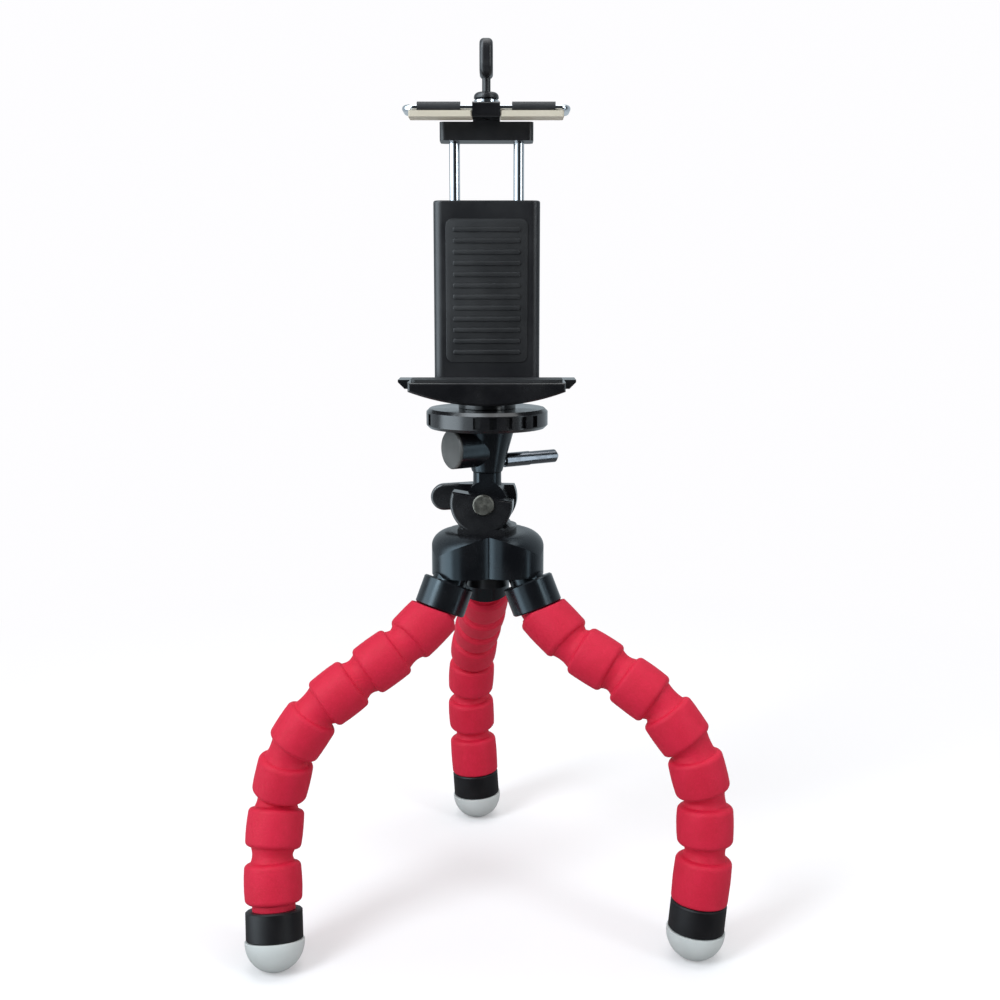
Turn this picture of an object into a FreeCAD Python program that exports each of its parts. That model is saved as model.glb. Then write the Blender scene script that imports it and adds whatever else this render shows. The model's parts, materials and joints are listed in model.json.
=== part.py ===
"""Mini tripod with three bendable foam legs, a two-way head and a spring clip.

Millimetres. +Z is up, +X is the right of someone facing the clip, -Y is towards them.
The floor is Z = 0. Everything is built about the tripod's own axis and then moved so
that the origin is the centre of the outline at the floor.
"""
import FreeCAD, Part
import math
import os

from FreeCAD import Placement, Rotation, Vector

# Fits
RUN = 0.04          # a shaft in its bore, per side
SEAT = 0.05         # pieces that sit in one another, per side
SOFT = 0.3          # foam beside what it moves against

EDGE = 0.4          # small chamfers
JOIN = 1.0          # how far shapes that are fused reach into one another

# Stance
HUB_BOTTOM = 107.0
LEG_AZIMUTH = {"left": 213.0, "right": 333.0, "rear": 93.0}
# How each leg stands at necks 2 to 7, degrees: bends are down, and sways are anticlockwise from above
LEG_BENDS = {
    "left": (-2.2, 1.1, 21.9, 21.3, 0.5, 7.2),
    "right": (-13.1, 5.4, 19.8, 23.0, 11.9, 6.5),
    "rear": (-3.3, 1.4, 12.7, 27.0, 8.5, 10.1),
}
LEG_SWAYS = {
    "left": (-14.2, 0, 0, 0, 25.0, 0),
    "right": (5.9, 0, 0, 0, -8.6, 0),
    "rear": (3.4, 0, 0, 0, -5.3, 0),
}

# Foam barrels
LINK = 15.0         # from neck to neck
BARRELS = 7
BARREL_R_TOP = 7.4
BARREL_R_FOOT = 8.05
BARREL_ROUND = 1.5
BARREL_ROUND_LAST = 0.9   # where the last barrel meets the ring
NECK_R = 6.05
GROOVE = 3.9        # width of the groove at each neck
NECK_LIMIT = 30.0   # bend of one neck from straight, degrees
HIP_OUT = 38.0      # bend of the first barrel out from its collar, degrees
NECK_DEPTH = 3.3    # how far the round neck reaches into the barrel above
CORE_R = 2.0        # bendable wire core
CORE_BORE_R = 2.5
CORE_BEND_R = 10.0

# Collars
COLLAR_R = 7.4
COLLAR_L = 8.4
COLLAR_TILT = 23.8  # from vertical
COLLAR_MOUTH = (16.5, 9.7)   # out from the axis, and below the hub's bottom edge
SPIGOT_R = 5.0
SPIGOT_L = 5.0

# Feet
RING_R = 8.0
RING_L = 8.2
CAP_R = 8.35
CAP_WALL = 0.55     # straight part of the cap above its round end
CAP_FLAT = 0.4      # how much of the cap's round end is flat on the floor
CAP_SPIGOT_R = 5.0
CAP_SPIGOT_L = 3.0
CORE_IN_FOOT = 6.5

# Hub
HUB_R = 17.2
HUB_H = 12.1
HUB_TOP_ROUND = 6.4
HUB_WALL = 1.6
LOBE_R = 10.3
LOBE_OUT = 6.9      # the lobes meet in a crease on each side
BASE_T = 1.6
BOSS_R = 6.0
BOSS_H = 4.4
ANCHOR_GAP = 5.0    # from the hub's bottom edge up to the anchor
ANCHOR_H = 4.4
ANCHOR_MARGIN = 1.9
POST_R = 4.0
POST_L = 7.3
HUB_SCREW_R = 2.0
HUB_SCREW_HEAD_R = 3.5
HUB_SCREW_HEAD_H = 2.0
SCREW_SUNK = 0.3
SLOT_W = 0.8
SLOT_DEPTH = 0.9

# Tilt hinge
HINGE_YAW = -6.0    # the pin's front end turns this far from -Y towards +X
HINGE_UP = 8.9      # pin centre above the hub's top
EAR_R = 9.0
EAR_FRONT_T = 5.2
EAR_REAR_T = 4.3
EAR_FRONT_TOP = 2.2  # flat top of each ear above the pin centre
EAR_REAR_TOP = 3.9
EAR_FRONT_LEAN = 8.5  # its flat top falls to the right
EAR_OFF = -0.8      # x of their middle, measured from the pin
EAR_ROUND = 0.9
EAR_FOOT_HALF_W = 6.75
CLEVIS_GAP = 3.9    # half the gap between the ears
CLEVIS_BASE_R = 8.6
CLEVIS_BASE_T = 1.7
KNUCKLE_R = 6.0
KNUCKLE_T = 3.6     # half its thickness
PIN_R = 2.0
PIN_HEAD_R = 3.05
PIN_HEAD_H = 1.1
PIN_EDGE = 0.35
LEVER_REACH = 14.3
LEVER_R = 4.0
LEVER_T = 3.2
LEVER_ROUND = 0.8
LEVER_DROP = 4.5    # how far its left end hangs
WASHER_R = 3.6
WASHER_T = 0.5
HINGE_NUT_R = 3.2
HINGE_NUT_T = 2.2

# Neck and pan housing
STEM_R = 4.1         # at its sides, and its flats are the knuckle's
SPIGOT_PAN_R = 2.6
PAN_BOTTOM = 17.3   # above the hub's top
PAN_TOP = 30.05
PAN_R_LOW = 4.4
PAN_R_HIGH = 8.0
PAN_ROUND = 0.4
SPIGOT_PAN_L = 9.6
SPIGOT_GROOVE_R = 2.05
CLAMP_YAW = -57.0   # the boss points this far from -Y towards +X
CLAMP_UP = 24.5
CLAMP_R = 5.65
CLAMP_REACH = 11.5
CLAMP_CAP_T = 0.8
CLAMP_CAP_STUB_R = 2.5
CLAMP_CAP_STUB_L = 1.8
ROD_UP = 20.1
ROD_TIP_R = 1.45
ROD_R = 2.1
ROD_END_R = 1.95
ROD_STEP = 14.5
ROD_REACH = 24.8
ROD_CHAMFER = 1.0

# Thumb wheel and stud
WHEEL_R = 17.5
WHEEL_H = 5.65
WHEEL_CHAMFER = 0.9
NOTCH_ANGLES = (-9.0, 6.0, 21.0, 36.0, 51.0)
NOTCH_GROUPS = 3
NOTCH_W = 2.0
NOTCH_H = 3.2
NOTCH_DEPTH = 1.1
FACE_GAP = 0.15     # flat faces that turn on one another
STUD_R = 3.1
STUD_IN_PAN = 2.4
STUD_ABOVE_WHEEL = 7.2

# Clip
CLIP_BOSS_R = 8.25
CLIP_BOSS_H = 4.5
SHELF_UP = 8.2      # shelf above the thumb wheel
SHELF_HALF_W = 22.0
SHELF_END_H = 2.6   # height of its front edge at the ends
SHELF_SAG = 4.0
SHELF_FRONT = -13.5
SHELF_REAR = 7.5
TIER_HALF_W = 25.5
TIER_FRONT = -2.5
TIER_H = 2.6
TIER_CHAMFER = 1.9
SHELF_ROUND = 0.8
PAD_T = 0.8
PAD_MARGIN = 0.8
PAD_ROUND = 1.5
NUT_R = 4.0
NUT_H = 5.0
CLAMPED_REAR = -3.4  # plane of the back of what is clamped
CLAMPED = 70.6      # its width, which sets the jaw's rest height
CASE_HALF_W = 15.0
CASE_FRONT = -3.1
CASE_REAR = 6.1
CASE_H = 50.0
CASE_ROUND = 2.5
CASE_TOP_ROUND = 0.6
CASE_FLOOR = 4.5
CASE_ROOF = 3.0
CLOSED_GAP = 0.5    # left above the case when the jaw is right down
ROD_X = 9.0
ROD_Y = 1.5
GUIDE_R = 1.5
GUIDE_END_R = 2.3
GUIDE_END_H = 1.5
SPRING_BORE_R = 2.7
SPRING_R = 2.1      # to the middle of its wire
SPRING_WIRE_R = 0.3
SPRING_TURNS = 12
SPRING_SHORTEST = 11.0   # its length when the jaw is right up
COVER_SCREW_R = 1.0
COVER_SCREW_HEAD_R = 1.8
COVER_SCREW_HEAD_H = 1.0
COVER_SCREW_WALL = 1.5   # left in front of the screws' ends
COVER_SLOT_W = 0.5
COVER_SCREW_UP = (9.0, 45.0)
CARRIAGE_HALF_W = 13.0
CARRIAGE_H = 5.0
CARRIAGE_REAR = 6.0
CARRIAGE_ROUND = 1.5
ROD_IN_CARRIAGE = 3.0
ARM_GAP = 0.3       # from the carriage's bar up to the jaw's underside

# Upper jaw
BLOCK_HALF_W = 3.75
BLOCK_H = 3.9
BLOCK_FRONT = -12.0
BLOCK_ROUND = 0.8
JAW_PAD_T = 1.6
JAW_PAD_REACH = 21.0
JAW_PAD_FRONT = -11.6
JAW_PAD_ROUND = 0.6
WIRE_R = 0.9
WIRE_FROM = 1.0     # its ends are this far from the block's middle
WIRE_REACH = 22.0
WIRE_FRONT = -9.6
WIRE_REAR = 1.6
WIRE_BEND_R = 2.4
SLEEVE_R = 1.6
SLEEVE_FROM = 7.0
SLEEVE_TO = 18.7
LOCK_NUT_R = 3.4
LOCK_NUT_H = 1.4
KEY_Y = -5.5
KEY_FLANGE_R = 3.4
KEY_FLANGE_H = 1.6
KEY_FLANGE_ROUND = 1.28
KEY_NECK_R = 1.15
KEY_NECK_H = 3.8
KEY_GRIP_T = 3.6
KEY_GRIP_W = 11.0
KEY_GRIP_H = 9.9
KEY_CORNER = 3.0
KEY_ROUND = 1.2
KEY_SCREW_R = 1.0
KEY_SCREW_IN_GRIP = 1.5

# Heights that follow
FOOT_L = RING_L + CAP_WALL          # to the middle of the cap's round end
HUB_TOP = HUB_BOTTOM + HUB_H
HINGE_Z = HUB_TOP + HINGE_UP
PAN_TOP_Z = HUB_TOP + PAN_TOP
WHEEL_Z = PAN_TOP_Z + FACE_GAP
WHEEL_TOP = WHEEL_Z + WHEEL_H
CLIP_Z = WHEEL_TOP + FACE_GAP
SHELF_Z = WHEEL_TOP + SHELF_UP
GRIP_Z = SHELF_Z + PAD_T            # top of the shelf's pad
JAW_Z = GRIP_Z + CLAMPED            # underside of the upper jaw at rest
CARRIAGE_Z = JAW_Z - ARM_GAP - CARRIAGE_H
CASE_TOP = SHELF_Z + CASE_H
JAW_CLOSE = CARRIAGE_Z - CASE_TOP - CLOSED_GAP     # the jaw's way down from rest
GUIDE_Z = SHELF_Z + CASE_FLOOR + JAW_CLOSE
JAW_OPEN = CASE_TOP - CASE_ROOF - SPRING_SHORTEST - GUIDE_END_H - GUIDE_Z    # and up

Z = Vector(0, 0, 1)
REARWARD = Vector(0, 1, 0)
ORIGIN = Vector(0, 0, 0)


def cylinder(radius, length, at=ORIGIN, axis=Z):
    return Part.makeCylinder(radius, length, at, axis)


def box(x0, x1, y0, y1, z0, z1):
    return Part.makeBox(x1 - x0, y1 - y0, z1 - z0, Vector(x0, y0, z0))


def fillet(shape, radius, choose):
    """Rounds the edges that choose picks."""
    edges = [e for e in shape.Edges if choose(e)]
    return shape.makeFillet(radius, edges)


def chamfer(shape, size, choose):
    edges = [e for e in shape.Edges if choose(e)]
    return shape.makeChamfer(size, edges)


def flat_at(*heights):
    """Picks the edges that lie level at any of the heights."""
    def choose(edge):
        b = edge.BoundBox
        return b.ZLength < 1e-4 and any(abs(b.ZMin - h) < 1e-4 for h in heights)
    return choose


def upright(edge):
    b = edge.BoundBox
    return b.XLength < 1e-4 and b.YLength < 1e-4


def at_y(place):
    """Picks the edges that lie in one upright plane square to Y."""
    def choose(edge):
        b = edge.BoundBox
        return b.YLength < 1e-4 and abs(b.YMin - place) < 1e-4
    return choose


def from_front(yaw):
    """Level direction at an angle from -Y towards +X."""
    a = math.radians(yaw)
    return Vector(math.sin(a), -math.cos(a), 0)


def fused(shapes):
    first, *rest = shapes
    return first.fuse(rest).removeSplitter() if rest else first


def mirrored_pair(shape):
    """The shape and its mirror image across the clip's middle plane."""
    return [shape, shape.mirror(ORIGIN, Vector(1, 0, 0))]


# Legs. Each is drawn going out along +X, with its bends in the plane of X and Z, then turned to
# its azimuth.

def pointing(angle):
    """The turn that points +Z out along the leg, at an angle below the horizontal."""
    return Rotation(REARWARD, 90 + angle)


def ahead(turn):
    """The direction that a turn gives to +Z."""
    return turn.multVec(Z)


def laid(shape, at, turn):
    """A shape drawn along +Z, laid along the leg from a point."""
    shape = shape.copy()
    shape.Placement = Placement(at, turn) * shape.Placement
    return shape


COLLAR_TURN = pointing(90 - COLLAR_TILT)
HIP = Vector(COLLAR_MOUTH[0], 0, HUB_BOTTOM - COLLAR_MOUTH[1])


def leg_turns(name):
    """How each barrel is turned, with the foot's round cap on the floor."""
    turns = [pointing(0)]
    for bend, sway in zip(LEG_BENDS[name], LEG_SWAYS[name]):
        turns.append(turns[-1] * Rotation(REARWARD, bend) * Rotation(Vector(-1, 0, 0), sway))
    reach = ahead(turns[-1]) * FOOT_L
    for turn in turns:
        reach = reach + ahead(turn) * LINK
    drop = HIP.z - (CAP_R - CAP_FLAT)
    slope = math.asin(drop / math.hypot(reach.x, reach.z)) - math.atan2(-reach.z, reach.x)
    return [Rotation(REARWARD, math.degrees(slope)) * turn for turn in turns]


def leg_points(name):
    """The neck centres from the collar's mouth down to the foot ring."""
    points = [HIP]
    for turn in leg_turns(name):
        points.append(points[-1] + ahead(turn) * LINK)
    return points


def in_place(shape, name):
    shape = shape.copy()
    shape.rotate(ORIGIN, Z, LEG_AZIMUTH[name])
    return shape


def barrel_radius(number):
    share = (number - 1) / (BARRELS - 1)
    return BARREL_R_TOP + share * (BARREL_R_FOOT - BARREL_R_TOP)


def cup(at):
    """The hollow that takes a round neck."""
    return Part.makeSphere(NECK_R + SOFT, Vector(0, 0, at))


def barrel(number):
    """One foam barrel along +Z from its neck. It has a round neck above and a cup below."""
    radius = barrel_radius(number)
    first, last = number == 1, number == BARRELS
    start = SOFT if first else GROOVE / 2
    end = LINK if last else LINK - GROOVE / 2
    body = cylinder(radius, end - start, Vector(0, 0, start))
    body = fillet(body, BARREL_ROUND, flat_at(start))
    body = fillet(body, BARREL_ROUND_LAST if last else BARREL_ROUND, flat_at(end))
    if first:
        body = body.cut(collar_side())
    reach = cylinder(NECK_R, NECK_DEPTH + GROOVE, Vector(0, 0, -NECK_DEPTH))
    pieces = [body, Part.makeSphere(NECK_R).common(reach)]
    body = fused(pieces)
    if not last:
        body = body.cut(cup(LINK))
    body = body.cut(cylinder(CORE_BORE_R, 3 * LINK, Vector(0, 0, -LINK)))
    spread = math.tan(math.radians(NECK_LIMIT)) * LINK
    flare = Part.makeCone(CORE_BORE_R + spread, CORE_BORE_R, LINK, Vector(0, 0, -LINK))
    return body.cut(flare)


def collar_side():
    """What the first barrel loses so that it can bend out on its collar."""
    side = 6 * BARREL_R_TOP
    block = box(-side, side, -side, side, -side, SOFT)
    block.rotate(ORIGIN, REARWARD, HIP_OUT)
    return block


def foam(name):
    """The leg's foam barrels in order."""
    turns, points = leg_turns(name), leg_points(name)
    out = []
    for i in range(BARRELS):
        out.append(in_place(laid(barrel(i + 1), points[i], turns[i]), name))
    return out


def collar():
    """Tube along +Z whose mouth is at zero, with the spigot that goes up into the hub."""
    tube = cylinder(COLLAR_R, COLLAR_L, Vector(0, 0, -COLLAR_L))
    tube = chamfer(tube, EDGE, flat_at(-COLLAR_L, 0))
    tube = fused([tube, cylinder(SPIGOT_R, SPIGOT_L + JOIN, Vector(0, 0, -COLLAR_L - SPIGOT_L))])
    return tube.cut([cup(0), cylinder(CORE_R + SEAT, 4 * COLLAR_L, Vector(0, 0, -3 * COLLAR_L))])


def collar_space(name, radius, top):
    """Room for a collar, or its spigot, in the pieces above it."""
    length = 3 * COLLAR_L
    return in_place(laid(cylinder(radius, length, Vector(0, 0, -top)), HIP, COLLAR_TURN), name)


def collar_spaces():
    """Room for all three collars and their spigots."""
    tubes = [collar_space(n, COLLAR_R + SEAT, COLLAR_L + SEAT) for n in LEG_AZIMUTH]
    spigots = [collar_space(n, SPIGOT_R + SEAT, COLLAR_L + SPIGOT_L + SEAT) for n in LEG_AZIMUTH]
    return tubes + spigots


def core_wire(name):
    """Bent wire from the anchor in the hub to the foot ring."""
    turns, points = leg_turns(name), leg_points(name)
    top = HIP - ahead(COLLAR_TURN) * core_top()
    foot = points[-1] + ahead(turns[-1]) * CORE_IN_FOOT
    route = [top] + points[:-1] + [foot]
    edges, last = [], route[0]
    for before, at, after in zip(route, route[1:], route[2:]):
        into = (at - before).normalize()
        out = (after - at).normalize()
        turn = into.getAngle(out)
        if turn < 1e-4:
            continue
        run = CORE_BEND_R * math.tan(turn / 2)
        start, end = at - into * run, at + out * run
        inside = (out - into).normalize()
        middle = at + inside * CORE_BEND_R * (1 / math.cos(turn / 2) - 1)
        edges.append(Part.LineSegment(last, start).toShape())
        edges.append(Part.Arc(start, middle, end).toShape())
        last = end
    edges.append(Part.LineSegment(last, route[-1]).toShape())
    path = Part.Wire(edges)
    circle = Part.Wire([Part.makeCircle(CORE_R, top, ahead(COLLAR_TURN))])
    return in_place(path.makePipeShell([circle], True, False), name)


def core_top():
    """How far the wire goes above the collar's mouth, to end inside the anchor."""
    rise = COLLAR_MOUTH[1] + ANCHOR_GAP + ANCHOR_H / 2
    return rise / math.cos(math.radians(COLLAR_TILT))


def foot_ring(name):
    turns, points = leg_turns(name), leg_points(name)
    ring = chamfer(cylinder(RING_R, RING_L), EDGE, flat_at(0, RING_L))
    ring = fused([ring, cylinder(CAP_SPIGOT_R, CAP_SPIGOT_L + JOIN, Vector(0, 0, RING_L - JOIN))])
    ring = ring.cut(cylinder(CORE_R + SEAT, CORE_IN_FOOT + SEAT))
    return in_place(laid(ring, points[-1], turns[-1]), name)


def foot_cap(name):
    turns, points = leg_turns(name), leg_points(name)
    half = Part.makeSphere(CAP_R).common(cylinder(CAP_R, CAP_R))
    top = Vector(0, 0, -CAP_WALL)
    half = half.fuse(cylinder(CAP_R, CAP_WALL, top))
    half = half.cut(cylinder(CAP_SPIGOT_R + SEAT, CAP_SPIGOT_L + SEAT, top))
    half = laid(half, points[-1] + ahead(turns[-1]) * FOOT_L, turns[-1])
    wide = 10 * HUB_R
    return in_place(half.cut(box(-wide, wide, -wide, wide, -wide, 0)), name)


# Hub

def lobed(radius, z0, z1):
    """Upright prism of three circles, one towards each leg, that meet in creases."""
    centres = [turned(Vector(LOBE_OUT, 0, 0), t) for t in LEG_AZIMUTH.values()]
    pieces = [Part.Face(Part.makePolygon(centres + centres[:1])).extrude(Vector(0, 0, z1 - z0))]
    pieces += [cylinder(radius, z1 - z0, c) for c in centres]
    shape = fused(pieces)
    shape.translate(Vector(0, 0, z0))
    return shape


def turned(point, azimuth):
    """A point turned about the upright axis."""
    return FreeCAD.Rotation(Z, azimuth).multVec(point)


def drum(radius, round_r, z0, z1):
    return fillet(cylinder(radius, z1 - z0, Vector(0, 0, z0)), round_r, flat_at(z1))


def hub_shell():
    outer = drum(HUB_R, HUB_TOP_ROUND, HUB_BOTTOM, HUB_TOP).common(lobed(LOBE_R, HUB_BOTTOM, HUB_TOP))
    inner_top = HUB_TOP - HUB_WALL
    inner = drum(HUB_R - HUB_WALL, HUB_TOP_ROUND - HUB_WALL, HUB_BOTTOM - 1, inner_top)
    inner = inner.common(lobed(LOBE_R - HUB_WALL, HUB_BOTTOM - 1, inner_top))
    shell = outer.cut([inner, cylinder(POST_R + SEAT, HUB_H, Vector(0, 0, HUB_TOP - HUB_H))])
    return shell.cut(collar_spaces())


def hub_base():
    """Plate that closes the hub from below, with the boss between the collars."""
    top = HUB_BOTTOM + BASE_T
    plate = lobed(LOBE_R - HUB_WALL - SEAT, HUB_BOTTOM, top)
    plate = plate.common(cylinder(HUB_R - HUB_WALL - SEAT, 2 * BASE_T, Vector(0, 0, HUB_BOTTOM)))
    boss = cylinder(BOSS_R, BOSS_H + 1, Vector(0, 0, HUB_BOTTOM - BOSS_H))
    plate = fused([plate, boss])
    cuts = collar_spaces()
    low = HUB_BOTTOM - BOSS_H
    cuts.append(cylinder(HUB_SCREW_R + SEAT, 2 * HUB_H, Vector(0, 0, low)))
    cuts.append(cylinder(HUB_SCREW_HEAD_R + 4 * SEAT, HUB_SCREW_HEAD_H + SCREW_SUNK, Vector(0, 0, low)))
    return plate.cut(cuts)


def core_anchor():
    """Block inside the hub that the three wires and the head's post are held in."""
    z0 = HUB_BOTTOM + ANCHOR_GAP
    block = lobed(LOBE_R - HUB_WALL - ANCHOR_MARGIN, z0, z0 + ANCHOR_H)
    cuts = [collar_space(n, CORE_R + SEAT, core_top() + SEAT) for n in LEG_AZIMUTH]
    cuts.append(cylinder(POST_R + SEAT, 2 * ANCHOR_H, Vector(0, 0, z0 - 1)))
    return block.cut(cuts)


def hub_screw():
    low = HUB_BOTTOM - BOSS_H + SCREW_SUNK
    head = chamfer(cylinder(HUB_SCREW_HEAD_R, HUB_SCREW_HEAD_H, Vector(0, 0, low)), EDGE, flat_at(low))
    shank = cylinder(HUB_SCREW_R, HUB_TOP - low, Vector(0, 0, low))
    half = SLOT_W / 2
    slot = box(-HUB_SCREW_HEAD_R, HUB_SCREW_HEAD_R, -half, half, low - 1, low + SLOT_DEPTH)
    return fused([head, shank]).cut(slot)


# Tilt hinge. The pin points to the front and is turned a little with all that is on it.

FRONT = from_front(HINGE_YAW)
HINGE = Vector(0, 0, HINGE_Z)


def on_pin(radius, start, end):
    """Cylinder about the hinge pin between two places along it."""
    return cylinder(radius, end - start, HINGE + FRONT * start, FRONT)


def ear(inside, outside, top, lean=0):
    """One ear between two places along the pin, rounded on its outer side."""
    y0, y1 = sorted((-inside, -outside))
    shape = cylinder(EAR_R, y1 - y0, Vector(EAR_OFF, y0, HINGE_Z), REARWARD)
    shape = shape.common(box(-2 * EAR_R, 2 * EAR_R, y0, y1, HINGE_Z - EAR_R, HINGE_Z + top))
    shape = fillet(shape, EAR_ROUND, at_y(-outside))
    shape.rotate(HINGE, REARWARD, lean)
    shape = shape.cut(box(-2 * EAR_R, 2 * EAR_R, y0, y1, HINGE_Z - 2 * EAR_R, HUB_TOP))
    left, right = EAR_OFF - EAR_FOOT_HALF_W, EAR_OFF + EAR_FOOT_HALF_W
    foot = box(left, right, y0, y1, HUB_TOP, HUB_TOP + CLEVIS_BASE_T)
    shape = shape.fuse(foot)
    shape.rotate(ORIGIN, Z, HINGE_YAW)
    return shape


def clevis():
    """Two ears on a round base, with the post that goes down into the hub."""
    front = ear(CLEVIS_GAP, CLEVIS_GAP + EAR_FRONT_T, EAR_FRONT_TOP, EAR_FRONT_LEAN)
    rear = ear(-CLEVIS_GAP, -CLEVIS_GAP - EAR_REAR_T, EAR_REAR_TOP)
    base = cylinder(CLEVIS_BASE_R, CLEVIS_BASE_T, Vector(0, 0, HUB_TOP))
    post = cylinder(POST_R, POST_L + 1, Vector(0, 0, HUB_TOP - POST_L))
    shape = fused([base, post, front, rear])
    cuts = [on_pin(PIN_R + RUN, -2 * EAR_R, 2 * EAR_R)]
    cuts.append(cylinder(HUB_SCREW_R + RUN, POST_L + SEAT, Vector(0, 0, HUB_TOP - POST_L)))
    return shape.cut(cuts)


def hinge_pin():
    front = CLEVIS_GAP + EAR_FRONT_T
    rear = -(CLEVIS_GAP + EAR_REAR_T + WASHER_T + LEVER_T + HINGE_NUT_T + 4 * FACE_GAP)
    end = front + SEAT + PIN_HEAD_H
    rim = HINGE + FRONT * (end - PIN_EDGE)
    nose = Part.makeCone(PIN_HEAD_R, PIN_HEAD_R - PIN_EDGE, PIN_EDGE, rim, FRONT)
    head = on_pin(PIN_HEAD_R, front + SEAT, end - PIN_EDGE)
    return fused([on_pin(PIN_R, rear, end - PIN_EDGE), head, nose])


def behind_ear(radius, skip, thickness, bore):
    """Disc on the pin's rear end, after a distance from the ear."""
    end = -(CLEVIS_GAP + EAR_REAR_T + skip)
    return on_pin(radius, end - thickness, end).cut(on_pin(bore, end - 2 * thickness, end + 1))


def lever_washer():
    return behind_ear(WASHER_R, SEAT, WASHER_T, PIN_R + RUN)


def lock_lever():
    """Flat lever with round ends, lying to the left of the pin."""
    y0 = CLEVIS_GAP + EAR_REAR_T + WASHER_T + 2 * FACE_GAP
    hub = cylinder(LEVER_R, LEVER_T, Vector(0, y0, HINGE_Z), REARWARD)
    arm = box(-LEVER_REACH, 0, y0, y0 + LEVER_T, HINGE_Z - LEVER_R, HINGE_Z + LEVER_R)
    tip = cylinder(LEVER_R, LEVER_T, Vector(-LEVER_REACH, y0, HINGE_Z), REARWARD)
    front, rear = at_y(y0), at_y(y0 + LEVER_T)
    shape = fillet(fused([hub, arm, tip]), LEVER_ROUND, lambda e: front(e) or rear(e))
    shape.rotate(HINGE, REARWARD, -LEVER_DROP)
    shape.rotate(ORIGIN, Z, HINGE_YAW)
    return shape.cut(on_pin(PIN_R + RUN, -y0 - 2 * LEVER_T, 1 - y0))


def hinge_nut():
    skip = WASHER_T + LEVER_T + 3 * FACE_GAP
    return behind_ear(HINGE_NUT_R, skip, HINGE_NUT_T, PIN_R + RUN)


def neck():
    """Knuckle between the ears, its stem, and the spigot that the pan housing turns on."""
    knuckle = on_pin(KNUCKLE_R, -KNUCKLE_T, KNUCKLE_T)
    stem_top = HUB_TOP + PAN_BOTTOM - FACE_GAP
    stem = cylinder(STEM_R, stem_top - HINGE_Z, HINGE)
    flats = box(-STEM_R, STEM_R, -KNUCKLE_T, KNUCKLE_T, HINGE_Z, stem_top)
    flats.rotate(ORIGIN, Z, HINGE_YAW)
    stem = stem.common(flats)
    spigot = cylinder(SPIGOT_PAN_R, SPIGOT_PAN_L, Vector(0, 0, stem_top))
    half = ROD_TIP_R + FACE_GAP
    ring = cylinder(SPIGOT_PAN_R + 1, 2 * half, Vector(0, 0, HUB_TOP + ROD_UP - half))
    groove = ring.cut(cylinder(SPIGOT_GROOVE_R, 2 * SPIGOT_PAN_L, Vector(0, 0, stem_top - 1)))
    return fused([knuckle, stem, spigot]).cut([groove, on_pin(PIN_R + RUN, -EAR_R, EAR_R)])


# Pan housing and its clamp

CLAMP = from_front(CLAMP_YAW)


def pan_housing():
    z0 = HUB_TOP + PAN_BOTTOM
    cone = Part.makeCone(PAN_R_LOW, PAN_R_HIGH, PAN_TOP_Z - z0, Vector(0, 0, z0))
    cone = fillet(cone, PAN_ROUND, flat_at(z0, PAN_TOP_Z))
    boss_at = Vector(0, 0, HUB_TOP + CLAMP_UP)
    boss = cylinder(CLAMP_R, CLAMP_REACH, boss_at, CLAMP)
    shape = fused([cone, boss])
    spigot_top = HUB_TOP + PAN_BOTTOM - FACE_GAP + SPIGOT_PAN_L
    cuts = [cylinder(SPIGOT_PAN_R + RUN, spigot_top + FACE_GAP - z0 + 1, Vector(0, 0, z0 - 1))]
    cuts.append(cylinder(STUD_R + RUN, STUD_IN_PAN + 1, Vector(0, 0, PAN_TOP_Z - STUD_IN_PAN)))
    cuts.append(cylinder(ROD_TIP_R + RUN, ROD_STEP, Vector(0, 0, HUB_TOP + ROD_UP), CLAMP * -1))
    stub = boss_at + CLAMP * (CLAMP_REACH - CLAMP_CAP_STUB_L - SEAT)
    cuts.append(cylinder(CLAMP_CAP_STUB_R + RUN, CLAMP_REACH, stub, CLAMP))
    return shape.cut(cuts)


def clamp_cap():
    """Disc that closes the clamp boss."""
    at = Vector(0, 0, HUB_TOP + CLAMP_UP) + CLAMP * CLAMP_REACH
    disc = cylinder(CLAMP_R, CLAMP_CAP_T - PIN_EDGE, at + CLAMP * SEAT, CLAMP)
    edge_at = at + CLAMP * (SEAT + CLAMP_CAP_T - PIN_EDGE)
    edge = Part.makeCone(CLAMP_R, CLAMP_R - PIN_EDGE, PIN_EDGE, edge_at, CLAMP)
    stub = cylinder(CLAMP_CAP_STUB_R, CLAMP_CAP_STUB_L + 2 * SEAT, at - CLAMP * CLAMP_CAP_STUB_L, CLAMP)
    return fused([disc, edge, stub])


def pan_radius(up):
    """Radius of the pan housing's cone at a height above the hub's top."""
    share = (up - PAN_BOTTOM) / (PAN_TOP - PAN_BOTTOM)
    return PAN_R_LOW + share * (PAN_R_HIGH - PAN_R_LOW)


def lock_rod():
    """Screw whose tip runs in the spigot's groove, with its long plain handle."""
    at = Vector(0, 0, HUB_TOP + ROD_UP)
    away = CLAMP * -1
    shoulder = pan_radius(ROD_UP + ROD_R) + FACE_GAP
    tip = cylinder(ROD_TIP_R, shoulder - SPIGOT_GROOVE_R, at + away * (SPIGOT_GROOVE_R + FACE_GAP), away)
    body = cylinder(ROD_R, ROD_STEP - shoulder, at + away * shoulder, away)
    end = cylinder(ROD_END_R, ROD_REACH - ROD_STEP - ROD_CHAMFER, at + away * ROD_STEP, away)
    nose_at = at + away * (ROD_REACH - ROD_CHAMFER)
    nose = Part.makeCone(ROD_END_R, ROD_END_R - ROD_CHAMFER, ROD_CHAMFER, nose_at, away)
    return fused([tip, body, end, nose])


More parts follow.
